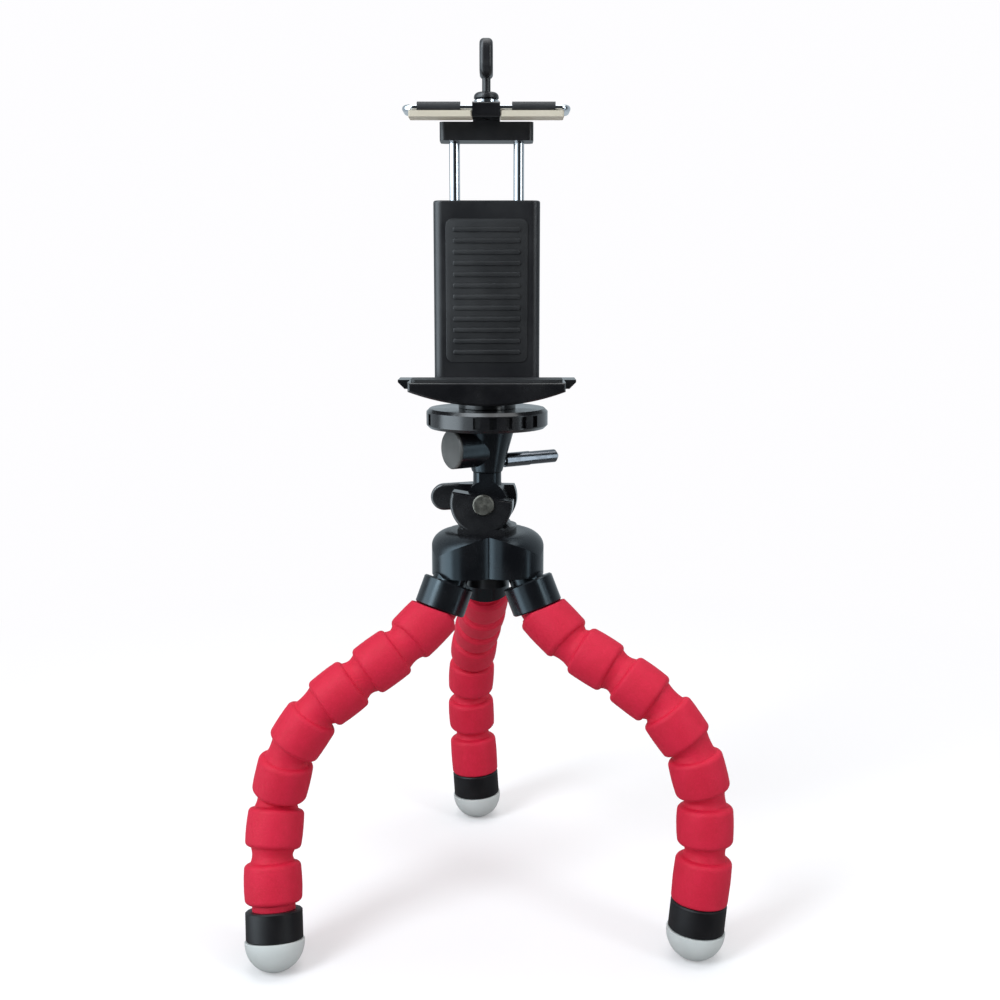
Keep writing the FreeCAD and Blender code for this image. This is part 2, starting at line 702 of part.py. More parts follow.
def camera_stud():
    low = PAN_TOP_Z - STUD_IN_PAN
    stud = cylinder(STUD_R, WHEEL_TOP + STUD_ABOVE_WHEEL - low, Vector(0, 0, low))
    return chamfer(stud, EDGE, flat_at(WHEEL_TOP + STUD_ABOVE_WHEEL))


def thumb_wheel():
    wheel = cylinder(WHEEL_R, WHEEL_H, Vector(0, 0, WHEEL_Z))
    wheel = chamfer(wheel, WHEEL_CHAMFER, flat_at(WHEEL_Z, WHEEL_TOP))
    middle = WHEEL_Z + WHEEL_H / 2
    cuts = [cylinder(STUD_R + RUN, 2 * WHEEL_H, Vector(0, 0, WHEEL_Z - 1))]
    for group in range(NOTCH_GROUPS):
        for angle in NOTCH_ANGLES:
            notch = box(
                -NOTCH_W / 2, NOTCH_W / 2, -WHEEL_R - 1, -WHEEL_R + NOTCH_DEPTH,
                middle - NOTCH_H / 2, middle + NOTCH_H / 2)
            notch.rotate(ORIGIN, Z, angle + group * 360 / NOTCH_GROUPS)
            cuts.append(notch)
    return wheel.cut(cuts)


# Clip

def shelf_outline(half_w, y0, y1):
    """The lower jaw's body: flat on top, a shallow arc underneath."""
    low = SHELF_Z - SHELF_END_H
    a = Vector(-half_w, y0, SHELF_Z)
    b = Vector(-half_w, y0, low)
    c = Vector(half_w, y0, low)
    d = Vector(half_w, y0, SHELF_Z)
    sag = Vector(0, y0, low - SHELF_SAG)
    edges = [Part.LineSegment(a, b), Part.Arc(b, sag, c), Part.LineSegment(c, d), Part.LineSegment(d, a)]
    face = Part.Face(Part.Wire([e.toShape() for e in edges]))
    return face.extrude(Vector(0, y1 - y0, 0))


def clip_base():
    body = shelf_outline(SHELF_HALF_W, SHELF_FRONT, SHELF_REAR)
    body = fillet(body, SHELF_ROUND, at_y(SHELF_FRONT))
    low = SHELF_Z - TIER_H
    tier = box(-TIER_HALF_W, TIER_HALF_W, TIER_FRONT, SHELF_REAR, low, SHELF_Z)
    tier = chamfer(tier, TIER_CHAMFER, lambda e: flat_at(low)(e) and e.BoundBox.XLength < 1e-4)
    boss = cylinder(CLIP_BOSS_R, CLIP_BOSS_H, Vector(0, 0, CLIP_Z))
    shape = fused([body, tier, boss])
    cuts = [cylinder(NUT_R + SEAT, NUT_H + SEAT, Vector(0, 0, CLIP_Z))]
    cuts.append(cylinder(STUD_R + FACE_GAP, STUD_ABOVE_WHEEL + 2 * FACE_GAP, Vector(0, 0, WHEEL_TOP)))
    return shape.cut(cuts)


def insert_nut():
    nut = cylinder(NUT_R, NUT_H, Vector(0, 0, CLIP_Z))
    return nut.cut(cylinder(STUD_R + RUN, 2 * NUT_H, Vector(0, 0, CLIP_Z - 1)))


def shelf_pad():
    half = SHELF_HALF_W - PAD_MARGIN
    pad = box(-half, half, SHELF_FRONT + PAD_MARGIN, CLAMPED_REAR, SHELF_Z, GRIP_Z)
    return fillet(pad, PAD_ROUND, upright)


def case_half(y0, y1):
    """Half of the clip's case, with its share of the two spring bores."""
    shell = box(-CASE_HALF_W, CASE_HALF_W, y0, y1, SHELF_Z, CASE_TOP)
    shell = fillet(shell, CASE_ROUND, lambda e: upright(e) and abs(e.BoundBox.YMin - ROD_Y) > 1e-4)
    inner, top = at_y(ROD_Y), flat_at(CASE_TOP)
    shell = fillet(shell, CASE_TOP_ROUND, lambda e: top(e) and not inner(e))
    cuts = []
    for x in (-ROD_X, ROD_X):
        floor = SHELF_Z + CASE_FLOOR
        cuts.append(cylinder(SPRING_BORE_R, CASE_TOP - CASE_ROOF - floor, Vector(x, ROD_Y, floor)))
        cuts.append(cylinder(GUIDE_R + RUN, 2 * CASE_ROOF, Vector(x, ROD_Y, CASE_TOP - CASE_ROOF - 1)))
    for up in COVER_SCREW_UP:
        at = Vector(0, CASE_REAR, SHELF_Z + up)
        cuts.append(cylinder(COVER_SCREW_R + RUN, CASE_REAR - cover_screw_end(), at, REARWARD * -1))
        cuts.append(cylinder(COVER_SCREW_HEAD_R + SEAT, COVER_SCREW_HEAD_H, at, REARWARD * -1))
    return shell.cut(cuts)


def cover_screw_end():
    return CASE_FRONT + COVER_SCREW_WALL


def cover_screws():
    screws = []
    for up in COVER_SCREW_UP:
        at = Vector(0, CASE_REAR, SHELF_Z + up)
        head = cylinder(COVER_SCREW_HEAD_R, COVER_SCREW_HEAD_H, at, REARWARD * -1)
        shank = cylinder(COVER_SCREW_R, CASE_REAR - cover_screw_end() - SEAT, at, REARWARD * -1)
        low = at.z - COVER_SLOT_W / 2
        deep = CASE_REAR - COVER_SLOT_W
        slot = box(-CASE_HALF_W, CASE_HALF_W, deep, CASE_REAR + 1, low, low + COVER_SLOT_W)
        screws.append(fused([head, shank]).cut(slot))
    return Part.makeCompound(screws)


def guide_rods():
    top = CARRIAGE_Z + ROD_IN_CARRIAGE
    rod = cylinder(GUIDE_R, top - GUIDE_Z, Vector(ROD_X, ROD_Y, GUIDE_Z))
    end = cylinder(GUIDE_END_R, GUIDE_END_H, Vector(ROD_X, ROD_Y, GUIDE_Z))
    return Part.makeCompound(mirrored_pair(fused([rod, end])))


def jaw_springs():
    """Coils between the rods' ends and the case's roof, which pull the jaw down."""
    low = GUIDE_Z + GUIDE_END_H + SPRING_WIRE_R + SEAT
    high = CASE_TOP - CASE_ROOF - SPRING_WIRE_R - SEAT
    coil = Part.makeHelix((high - low) / SPRING_TURNS, high - low, SPRING_R)
    along = Vector(0, SPRING_R, (high - low) / SPRING_TURNS / 2 / math.pi)
    circle = Part.Wire([Part.makeCircle(SPRING_WIRE_R, Vector(SPRING_R, 0, 0), along)])
    spring = Part.Wire(coil.Edges).makePipeShell([circle], True, True)
    spring.translate(Vector(ROD_X, ROD_Y, low))
    return Part.makeCompound(mirrored_pair(spring))


def jaw_carriage():
    top = CARRIAGE_Z + CARRIAGE_H
    bar = box(-CARRIAGE_HALF_W, CARRIAGE_HALF_W, CASE_FRONT, CARRIAGE_REAR, CARRIAGE_Z, top)
    bar = fillet(bar, CARRIAGE_ROUND, upright)
    arm = box(-BLOCK_HALF_W, BLOCK_HALF_W, CASE_FRONT, CARRIAGE_REAR, top - 1, JAW_Z)
    bar = fused([bar, arm])
    depth = ROD_IN_CARRIAGE + SEAT
    return bar.cut([cylinder(GUIDE_R + RUN, depth, Vector(x, ROD_Y, CARRIAGE_Z)) for x in (-ROD_X, ROD_X)])


WIRE_Z = JAW_Z + JAW_PAD_T + WIRE_R
BLOCK_TOP = JAW_Z + BLOCK_H


def jaw_block():
    """Central block that the two wire wings come out of."""
    block = box(-BLOCK_HALF_W, BLOCK_HALF_W, BLOCK_FRONT, CARRIAGE_REAR, JAW_Z, BLOCK_TOP)
    block = fillet(block, BLOCK_ROUND, lambda e: e.BoundBox.XLength > 2 * BLOCK_HALF_W - 1e-4)
    cuts = [cylinder(KEY_SCREW_R + RUN, 2 * BLOCK_H, Vector(0, KEY_Y, JAW_Z - 1))]
    for y in (WIRE_FRONT, WIRE_REAR):
        for side in (-1, 1):
            at = Vector(side * WIRE_FROM, y, WIRE_Z)
            cuts.append(cylinder(WIRE_R + SEAT, BLOCK_HALF_W, at, Vector(side, 0, 0)))
    return block.cut(cuts)


def wing_wires():
    """One loop of wire each side, from the block out and back behind what is clamped."""
    corner_x = WIRE_REACH - WIRE_BEND_R
    bend = WIRE_BEND_R * (1 - math.sqrt(0.5))
    start = WIRE_FROM + SEAT

    def at(x, y):
        return Vector(x, y, WIRE_Z)

    edges = [
        Part.LineSegment(at(start, WIRE_FRONT), at(corner_x, WIRE_FRONT)),
        Part.Arc(
            at(corner_x, WIRE_FRONT), at(WIRE_REACH - bend, WIRE_FRONT + bend),
            at(WIRE_REACH, WIRE_FRONT + WIRE_BEND_R)),
        Part.LineSegment(at(WIRE_REACH, WIRE_FRONT + WIRE_BEND_R), at(WIRE_REACH, WIRE_REAR - WIRE_BEND_R)),
        Part.Arc(
            at(WIRE_REACH, WIRE_REAR - WIRE_BEND_R), at(WIRE_REACH - bend, WIRE_REAR - bend),
            at(corner_x, WIRE_REAR)),
        Part.LineSegment(at(corner_x, WIRE_REAR), at(start, WIRE_REAR)),
    ]
    path = Part.Wire([e.toShape() for e in edges])
    circle = Part.Wire([Part.makeCircle(WIRE_R, at(start, WIRE_FRONT), Vector(1, 0, 0))])
    return Part.makeCompound(mirrored_pair(path.makePipeShell([circle], True, False)))


def wing_sleeves():
    at = Vector(SLEEVE_FROM, WIRE_FRONT, WIRE_Z)
    along = Vector(1, 0, 0)
    tube = cylinder(SLEEVE_R, SLEEVE_TO - SLEEVE_FROM, at, along)
    tube = tube.cut(cylinder(WIRE_R + SEAT, WIRE_REACH, Vector(0, WIRE_FRONT, WIRE_Z), along))
    room = box(0, WIRE_REACH, BLOCK_FRONT, 0, JAW_Z, JAW_Z + JAW_PAD_T)
    return Part.makeCompound(mirrored_pair(tube.cut(room)))


def jaw_pads():
    start = BLOCK_HALF_W + SEAT
    pad = box(start, JAW_PAD_REACH, JAW_PAD_FRONT, CLAMPED_REAR, JAW_Z, JAW_Z + JAW_PAD_T)
    return Part.makeCompound(mirrored_pair(fillet(pad, JAW_PAD_ROUND, upright)))


def lock_nut():
    nut = cylinder(LOCK_NUT_R, LOCK_NUT_H, Vector(0, KEY_Y, BLOCK_TOP))
    nut = chamfer(nut, EDGE, flat_at(BLOCK_TOP, BLOCK_TOP + LOCK_NUT_H))
    return nut.cut(cylinder(KEY_SCREW_R + RUN, 2 * LOCK_NUT_H, Vector(0, KEY_Y, BLOCK_TOP - 1)))


FLANGE_Z = BLOCK_TOP + LOCK_NUT_H + FACE_GAP
KEY_GRIP_Z = FLANGE_Z + KEY_FLANGE_H + KEY_NECK_H


def clamp_key():
    """Flat key: domed flange, thin neck and a grip that is seen edge-on from the front."""
    flange = cylinder(KEY_FLANGE_R, KEY_FLANGE_H, Vector(0, KEY_Y, FLANGE_Z))
    flange = fillet(flange, KEY_FLANGE_ROUND, flat_at(FLANGE_Z + KEY_FLANGE_H))
    post = cylinder(KEY_NECK_R, KEY_GRIP_Z + 1 - FLANGE_Z, Vector(0, KEY_Y, FLANGE_Z))
    half_t, half_w = KEY_GRIP_T / 2, KEY_GRIP_W / 2
    grip = box(-half_t, half_t, KEY_Y - half_w, KEY_Y + half_w, KEY_GRIP_Z, KEY_GRIP_Z + KEY_GRIP_H)
    grip = fillet(grip, KEY_CORNER, lambda e: e.BoundBox.XLength > KEY_GRIP_T - 1e-4)
    grip = fillet(grip, KEY_ROUND, lambda e: e.BoundBox.XLength < 1e-4)
    key = fused([flange, post, grip])
    return key.cut(cylinder(KEY_SCREW_R, KEY_FLANGE_H + KEY_SCREW_IN_GRIP, Vector(0, KEY_Y, FLANGE_Z)))


def key_screw():
    """Steel screw moulded into the key, through the nut and the block."""
    low = JAW_Z + EDGE
    return cylinder(KEY_SCREW_R, FLANGE_Z + KEY_FLANGE_H + KEY_SCREW_IN_GRIP - low, Vector(0, KEY_Y, low))


def build():
    """Every piece by its node's name, about the tripod's axis."""
    nodes = {
        "hub_shell": hub_shell(),
        "hub_base": hub_base(),
        "core_anchor": core_anchor(),
        "hub_screw": hub_screw(),
        "leg_collars": Part.makeCompound(
            [in_place(laid(collar(), HIP, COLLAR_TURN), n) for n in LEG_AZIMUTH]),
        "core_wires": Part.makeCompound([core_wire(n) for n in LEG_AZIMUTH]),
        "clevis": clevis(),
        "hinge_pin": hinge_pin(),
        "lever_washer": lever_washer(),
        "hinge_nut": hinge_nut(),
        "lock_lever": lock_lever(),
        "neck": neck(),
        "pan_housing": pan_housing(),
        "clamp_cap": clamp_cap(),
        "lock_rod": lock_rod(),
        "camera_stud": camera_stud(),
        "thumb_wheel": thumb_wheel(),
        "clip_base": clip_base(),
        "insert_nut": insert_nut(),
        "shelf_pad": shelf_pad(),
        "case_front": case_half(CASE_FRONT, ROD_Y),
        "case_cover": case_half(ROD_Y, CASE_REAR),
        "cover_screws": cover_screws(),
        "guide_rods": guide_rods(),
        "jaw_springs": jaw_springs(),
        "jaw_carriage": jaw_carriage(),
        "jaw_block": jaw_block(),
        "jaw_pads": jaw_pads(),
        "wing_wires": wing_wires(),
        "wing_sleeves": wing_sleeves(),
        "lock_nut": lock_nut(),
        "clamp_key": clamp_key(),
        "key_screw": key_screw(),
    }
    for name in LEG_AZIMUTH:
        for i, piece in enumerate(foam(name)):
            nodes[f"{name}_foam_{i + 1}"] = piece
        nodes[f"{name}_foot_ring"] = foot_ring(name)
        nodes[f"{name}_foot_cap"] = foot_cap(name)
    return nodes


def to_origin(nodes):
    """The move that puts the middle of the outline over the origin."""
    whole = Part.makeCompound(list(nodes.values())).optimalBoundingBox(False)
    return Vector(-(whole.XMin + whole.XMax) / 2, -(whole.YMin + whole.YMax) / 2, 0)


def main():
    os.makedirs("parts", exist_ok=True)
    nodes = build()
    move = to_origin(nodes)
    for name, shape in nodes.items():
        shape.translate(move)
        shape.exportStep(f"parts/{name}.step")
    print("axis of the tripod at", round(move.x, 3), round(move.y, 3))
    print("jaw travel down and up", round(JAW_CLOSE, 2), round(JAW_OPEN, 2))


main()
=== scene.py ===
"""Dressed model of a mini tripod: bendable foam legs, a tilt-and-pan head and a spring clip.

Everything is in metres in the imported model's frame: +Z up, -Y towards the person who faces the
clip. The scales of patterns are in cells per metre.
"""

from __future__ import annotations

import json
import logging
import math
from dataclasses import dataclass, field
from enum import Enum
from typing import Sequence, Union

import bpy
from mathutils import Matrix, Vector, noise

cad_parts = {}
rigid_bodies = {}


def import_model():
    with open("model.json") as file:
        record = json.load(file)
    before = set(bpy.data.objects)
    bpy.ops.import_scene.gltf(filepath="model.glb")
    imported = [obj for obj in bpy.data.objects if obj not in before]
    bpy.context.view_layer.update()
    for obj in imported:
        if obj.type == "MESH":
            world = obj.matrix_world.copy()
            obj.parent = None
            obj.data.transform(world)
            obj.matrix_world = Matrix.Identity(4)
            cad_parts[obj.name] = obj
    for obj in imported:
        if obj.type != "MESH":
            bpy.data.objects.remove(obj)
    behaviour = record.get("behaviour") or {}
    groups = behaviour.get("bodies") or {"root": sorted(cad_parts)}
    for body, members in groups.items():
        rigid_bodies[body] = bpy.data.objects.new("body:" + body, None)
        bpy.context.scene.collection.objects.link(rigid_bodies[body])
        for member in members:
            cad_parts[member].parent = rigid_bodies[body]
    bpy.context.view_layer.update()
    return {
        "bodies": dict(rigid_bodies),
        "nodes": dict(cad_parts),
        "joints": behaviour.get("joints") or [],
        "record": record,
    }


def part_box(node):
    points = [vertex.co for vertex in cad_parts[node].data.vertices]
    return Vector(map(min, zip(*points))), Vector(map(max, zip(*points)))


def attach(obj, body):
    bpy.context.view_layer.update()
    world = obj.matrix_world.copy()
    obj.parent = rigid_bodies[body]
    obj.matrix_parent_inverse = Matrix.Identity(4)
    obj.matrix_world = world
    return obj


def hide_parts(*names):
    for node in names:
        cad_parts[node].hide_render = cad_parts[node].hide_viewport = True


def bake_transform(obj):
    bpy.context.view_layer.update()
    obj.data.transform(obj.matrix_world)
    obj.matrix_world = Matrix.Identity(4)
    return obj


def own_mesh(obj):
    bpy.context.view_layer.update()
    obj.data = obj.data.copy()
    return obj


LOG = logging.getLogger("mini_tripod")
MM = 0.001
SMOOTH = math.radians(40)  # edges flatter than this are shaded smooth
BAR_SMOOTH = math.radians(35)  # the same on bevelled bars
MERGE = 1e-6  # points nearer than this become one
CORNER_SPANS = 5  # faces across a round corner
EDGE_SPANS = 3  # faces across a softened edge
ROUND_SPANS = 6  # rings across a rounded shoulder
PALE = (0.99, 0.985, 1.0)  # the white all round the tripod
Colour = tuple[float, float, float]
Size = tuple[float, float, float]
Span = tuple[float, float]
Ring = tuple[float, float]


def srgb(red: int, green: int, blue: int) -> Colour:
    """Turns a written colour into a linear one.

    Args:
        red: From 0 to 255, as the next two.
        green: See red.
        blue: See red.

    Returns:
        The linear colour.
    """

    def linear(channel: int) -> float:
        """One channel, undone from its display curve."""
        share = channel / 255
        return share / 12.92 if share <= 0.04045 else ((share + 0.055) / 1.055) ** 2.4

    return linear(red), linear(green), linear(blue)


# Shader expressions


class Signal:
    """A number on its way through a node tree, which Python expressions can work on."""

    def __init__(self, graph: Graph, socket: bpy.types.NodeSocket) -> None:
        """Keeps the output that carries the number, and the graph that new nodes go into."""
        self.graph = graph
        self.socket = socket

    def __add__(self, other: Operand) -> Signal:
        """The sum."""
        return self.graph.math("ADD", self, other)

    def __radd__(self, other: float) -> Signal:
        """The sum, with the number first."""
        return self.graph.math("ADD", other, self)

    def __sub__(self, other: Operand) -> Signal:
        """The difference."""
        return self.graph.math("SUBTRACT", self, other)

    def __rsub__(self, other: float) -> Signal:
        """The difference, with the number first."""
        return self.graph.math("SUBTRACT", other, self)

    def __mul__(self, other: Operand) -> Signal:
        """The product."""
        return self.graph.math("MULTIPLY", self, other)

    def __rmul__(self, other: float) -> Signal:
        """The product, with the number first."""
        return self.graph.math("MULTIPLY", other, self)


Operand = Union[Signal, float, int]


class Graph:
    """The node tree of one material or world, built from expressions."""

    def __init__(self, owner: bpy.types.Material | bpy.types.World) -> None:
        """Empties the owner's tree.

        Args:
            owner: What the tree belongs to.
        """
        owner.use_nodes = True
        self.owner = owner
        self.tree = owner.node_tree
        self.tree.nodes.clear()
        self.coordinates = self.node("ShaderNodeTexCoord")
        self.place = self.coordinates.outputs["Object"]

    def node(
        self,
        kind: str,
        settings: dict[str, object] | None = None,
        sockets: dict[str | int, object] | None = None,
    ) -> bpy.types.Node:
        """Adds a node.

        Args:
            kind: The node's type.
            settings: Its own settings, set first.
            sockets: What goes into its inputs: a value, a Signal or an output socket.

        Returns:
            The node.
        """
        made = self.tree.nodes.new(kind)
        for key, value in (settings or {}).items():
            setattr(made, key, value)
        for key, value in (sockets or {}).items():
            self.feed(made.inputs[key], value)
        return made

    def feed(self, target: bpy.types.NodeSocket, value: object) -> None:
        """Links or sets one input.

        Args:
            target: The input socket.
            value: A Signal, an output socket, a number, a colour or a vector.
        """
        if isinstance(value, Signal):
            self.tree.links.new(value.socket, target)
        elif isinstance(value, bpy.types.NodeSocket):
            self.tree.links.new(value, target)
        elif target.type == "RGBA":
            target.default_value = (*value, 1.0)
        else:
            target.default_value = value

    def math(self, operation: str, *values: Operand) -> Signal:
        """What one Math node makes of the values."""
        made = self.node("ShaderNodeMath", {"operation": operation}, dict(enumerate(values)))
        return Signal(self, made.outputs[0])

    def noise(
        self, scale: float, detail: float = 2.0, roughness: float = 0.5, place: object = None
    ) -> Signal:
        """Even noise about one half.

        Args:
            scale: Cells per metre.
            detail: Octaves.
            roughness: How strong each next octave is.
            place: The vector it reads, or None for the object's own.

        Returns:
            The noise value.
        """
        sockets = {"Vector": place or self.place, "Scale": scale}
        sockets |= {"Detail": detail, "Roughness": roughness}
        return Signal(self, self.node("ShaderNodeTexNoise", None, sockets).outputs[0])

    def pits(self, scale: float) -> Signal:
        """Distance to the nearest of scattered points, in cells.

        Args:
            scale: Cells per metre.

        Returns:
            The distance.
        """
        sockets = {"Vector": self.place, "Scale": scale}
        made = self.node("ShaderNodeTexVoronoi", {"feature": "F1"}, sockets)
        return Signal(self, made.outputs["Distance"])

    def ray(self, kind: str) -> Signal:
        """One for a light ray of the kind and zero for any other."""
        return Signal(self, self.node("ShaderNodeLightPath").outputs[f"Is {kind} Ray"])

    def between(
        self, value: Signal, low: float, high: float, start: float = 0.0, end: float = 1.0
    ) -> Signal:
        """The value with low turned to start and high to end, and held between them."""
        sockets = {"Value": value, 1: low, 2: high, 3: start, 4: end}
        return Signal(self, self.node("ShaderNodeMapRange", {"clamp": True}, sockets).outputs[0])

    def mix(self, share: Operand, first: object, second: object) -> bpy.types.NodeSocket:
        """Two colours or colour outputs mixed, with this share of the second."""
        sockets = {0: share, 6: first, 7: second}
        return self.node("ShaderNodeMix", {"data_type": "RGBA"}, sockets).outputs[2]

    def bump(self, height: Signal, depth: float, normal: object = None) -> bpy.types.NodeSocket:
        """Turns a height into a normal.

        Args:
            height: The height, from 0 to 1.
            depth: How far one step of it stands out, in metres.
            normal: The normal underneath, if any.

        Returns:
            The normal output.
        """
        sockets = {"Height": height, "Distance": depth, "Strength": 1.0}
        if normal is not None:
            sockets["Normal"] = normal
        return self.node("ShaderNodeBump", None, sockets).outputs[0]

    def mix_shaders(
        self, share: Signal, first: bpy.types.NodeSocket, second: bpy.types.NodeSocket
    ) -> bpy.types.NodeSocket:
        """Two shaders mixed, with this share of the second."""
        sockets = {0: share, 1: first, 2: second}
        return self.node("ShaderNodeMixShader", None, sockets).outputs[0]

    def surface(self, sockets: dict[str | int, object]) -> bpy.types.Material:
        """Ends a material with a Principled shader.

        Args:
            sockets: What goes into the shader's inputs.

        Returns:
            The finished material.
        """
        shader = self.node("ShaderNodeBsdfPrincipled", None, sockets)
        self.node("ShaderNodeOutputMaterial", None, {"Surface": shader.outputs[0]})
        return self.owner


# Finishes


@dataclass(frozen=True)
class FoamSkin:
    """Moulded closed-cell foam with a fine dull grain, and painted shade in its pores."""

    name: str
    colour: Colour
    deep: Colour
    pale: Colour
    blotch: float = 210.0
    grain: float = 2300.0
    pore: float = 1035.0
    swell: float = 520.0
    relief: float = 0.07 * MM
    mottle: Span = (0.32, 0.62)
    fleck: Span = (0.55, 0.80)
    fleck_pale: float = 0.22
    # painted shade in the pores: how far out from a pore's middle it reaches, and its share of
    # the deep colour there
    pore_shade_rim: Span = (0.05, 0.16)
    pore_painted_shade: float = 0.45
    dullness: Span = (0.58, 0.74)
    shine: float = 0.4
    sheen: float = 0.05

    def material(self) -> bpy.types.Material:
        """Builds the finish.

        Returns:
            The material.
        """
        g = Graph(bpy.data.materials.new(self.name))
        blotches = g.noise(self.blotch, 3.0, 0.6)
        grain = g.noise(self.grain, 2.0, 0.7)
        pores = g.pits(self.pore)
        shade = g.between(blotches * 0.5 + grain * 0.5, *self.mottle)
        body = g.mix(shade, self.deep, self.colour)
        body = g.mix(g.between(grain, *self.fleck, 0.0, self.fleck_pale), body, self.pale)
        # painted shade: each pore's middle is darkened towards the deep colour
        body = g.mix(g.between(pores, *self.pore_shade_rim, self.pore_painted_shade, 0.0), body, self.deep)
        height = g.between(pores, 0.0, 0.45) * 0.55 + grain * 0.45
        normal = g.bump(height, self.relief, g.bump(g.noise(self.swell), self.relief))
        return g.surface(
            {
                "Base Color": body,
                "Roughness": g.between(grain, 0.3, 0.7, *self.dullness),
                "Normal": normal,
                "Specular IOR Level": self.shine,
                "Sheen Weight": self.sheen,
                "Sheen Roughness": 0.5,
                "Sheen Tint": self.pale,
            }
        )


@dataclass(frozen=True)
class Moulded:
    """Injection-moulded plastic or rubber with slight waviness and a fine grain."""

    name: str
    colour: Colour
    roughness: float
    haze: float
    cloud: float = 95.0
    cloud_pale: Span = (0.38, 0.72)
    cloud_haze: Span = (0.30, 0.70)
    speck: float = 3100.0
    speck_rim: Span = (0.72, 0.80)
    wave: float = 130.0
    wave_depth: float = 0.03 * MM
    grain: float = 1500.0
    grain_depth: float = 0.003 * MM
    pale: float = 0.05
    coat: float = 0.0
    coat_roughness: float = 0.10
    soft: float = 0.0
    soft_depth: float = 1.2 * MM
    shine: float = 0.5
    # colour given to the reflections; where it isn't white it is a painted light colour
    tint: Colour = (1.0, 1.0, 1.0)

    def material(self) -> bpy.types.Material:
        """Builds the finish.

        Returns:
            The material.
        """
        g = Graph(bpy.data.materials.new(self.name))
        clouds = g.noise(self.cloud, 3.0, 0.6)
        dust = g.between(g.noise(self.speck, 1.0), *self.speck_rim)
        lighter = tuple(c + (1 - c) * self.pale for c in self.colour)
        paler = g.between(clouds, *self.cloud_pale, 0.0, 0.5) + dust * 0.2
        rough = self.roughness
        hazy = g.between(clouds, *self.cloud_haze, rough, rough + self.haze)
        normal = g.bump(g.noise(self.wave, 1.0), self.wave_depth)
        normal = g.bump(g.noise(self.grain), self.grain_depth, normal)
        return g.surface(
            {
                "Base Color": g.mix(paler, self.colour, lighter),
                "Roughness": hazy + dust * 0.08,
                "Normal": normal,
                "Specular IOR Level": self.shine,
                "Specular Tint": self.tint,
                "Coat Weight": self.coat,
                "Coat Roughness": self.coat_roughness,
                "Subsurface Weight": self.soft,
                "Subsurface Radius": (1.0, 1.0, 1.0),
                "Subsurface Scale": self.soft_depth,
            }
        )


class Lay(Enum):
    """Which way a metal's fine scratches run, by how they are stretched."""

    TURNED = (1.0, 1.0, 14.0)
    EVEN = (1.0, 1.0, 1.0)


@dataclass(frozen=True)
class Metal:
    """Bare or plated metal with fine scratches and a little tarnish."""

    name: str
    colour: Colour
    roughness: float
    lay: Lay = Lay.EVEN
    line: float = 900.0
    scratch: float = 0.002 * MM
    stain: float = 320.0
    stain_rim: Span = (0.45, 0.75)
    wear: Span = (0.7, 1.3)
    worn: float = 0.7
    dull: float = 0.72

    def material(self) -> bpy.types.Material:
        """Builds the finish.

        Returns:
            The material.
        """
        g = Graph(bpy.data.materials.new(self.name))
        mapping = g.node("ShaderNodeMapping", None, {"Vector": g.place, "Scale": self.lay.value})
        lines = g.noise(self.line, 3.0, 0.65, mapping.outputs[0])
        tarnish = g.between(g.noise(self.stain, 4.0, 0.6), *self.stain_rim)
        dull = tuple(c * self.dull for c in self.colour)
        smooth, scratched = (self.roughness * share for share in self.wear)
        rough = g.between(lines, 0.3, 0.7, smooth, scratched)
        return g.surface(
            {
                "Base Color": g.mix(tarnish * self.worn, self.colour, dull),
                "Metallic": 1.0,
                "Roughness": rough + tarnish * 0.08,
                "Normal": g.bump(lines, self.scratch),
            }
        )


FOAM_RED = FoamSkin("foam_red", srgb(212, 20, 59), srgb(200, 15, 49), srgb(226, 60, 97))
BLACK_GLOSS = Moulded("black_gloss", srgb(17, 17, 20), 0.17, 0.12, coat=0.25, pale=0.015)
# painted light: its bluish tint colours the reflections as the bluish window light would
SHELL_BLACK = Moulded(
    "shell_black", srgb(15, 15, 18), 0.20, 0.10, pale=0.01, shine=0.42, tint=(0.70, 0.89, 1.0)
)
RING_BLACK = Moulded("ring_black", srgb(15, 14, 17), 0.38, 0.08, pale=0.01, shine=0.27)
BLACK_SATIN = Moulded(
    "black_satin", srgb(24, 24, 27), 0.36, 0.06, wave_depth=0.01 * MM, pale=0.02
)
PALE_RUBBER = Moulded("pale_rubber", srgb(206, 212, 211), 0.42, 0.14, pale=0.25, soft=0.35)
BLACK_RUBBER = Moulded(
    "black_rubber",
    srgb(24, 24, 26),
    0.52,
    0.08,
    wave_depth=0.01 * MM,
    grain_depth=0.012 * MM,
    pale=0.02,
)
BEIGE_RUBBER = Moulded(
    "beige_rubber", srgb(212, 204, 184), 0.55, 0.15, grain_depth=0.02 * MM, pale=0.2
)
GREY_CAP = Moulded("grey_cap", srgb(62, 62, 60), 0.36, 0.16, pale=0.10)
STEEL_PIN = Metal("steel_pin", srgb(108, 105, 98), 0.40, scratch=0.0002 * MM, worn=0.1)
DARK_CHROME = Metal("dark_chrome", srgb(118, 121, 126), 0.10, scratch=0.0008 * MM, worn=0.3)


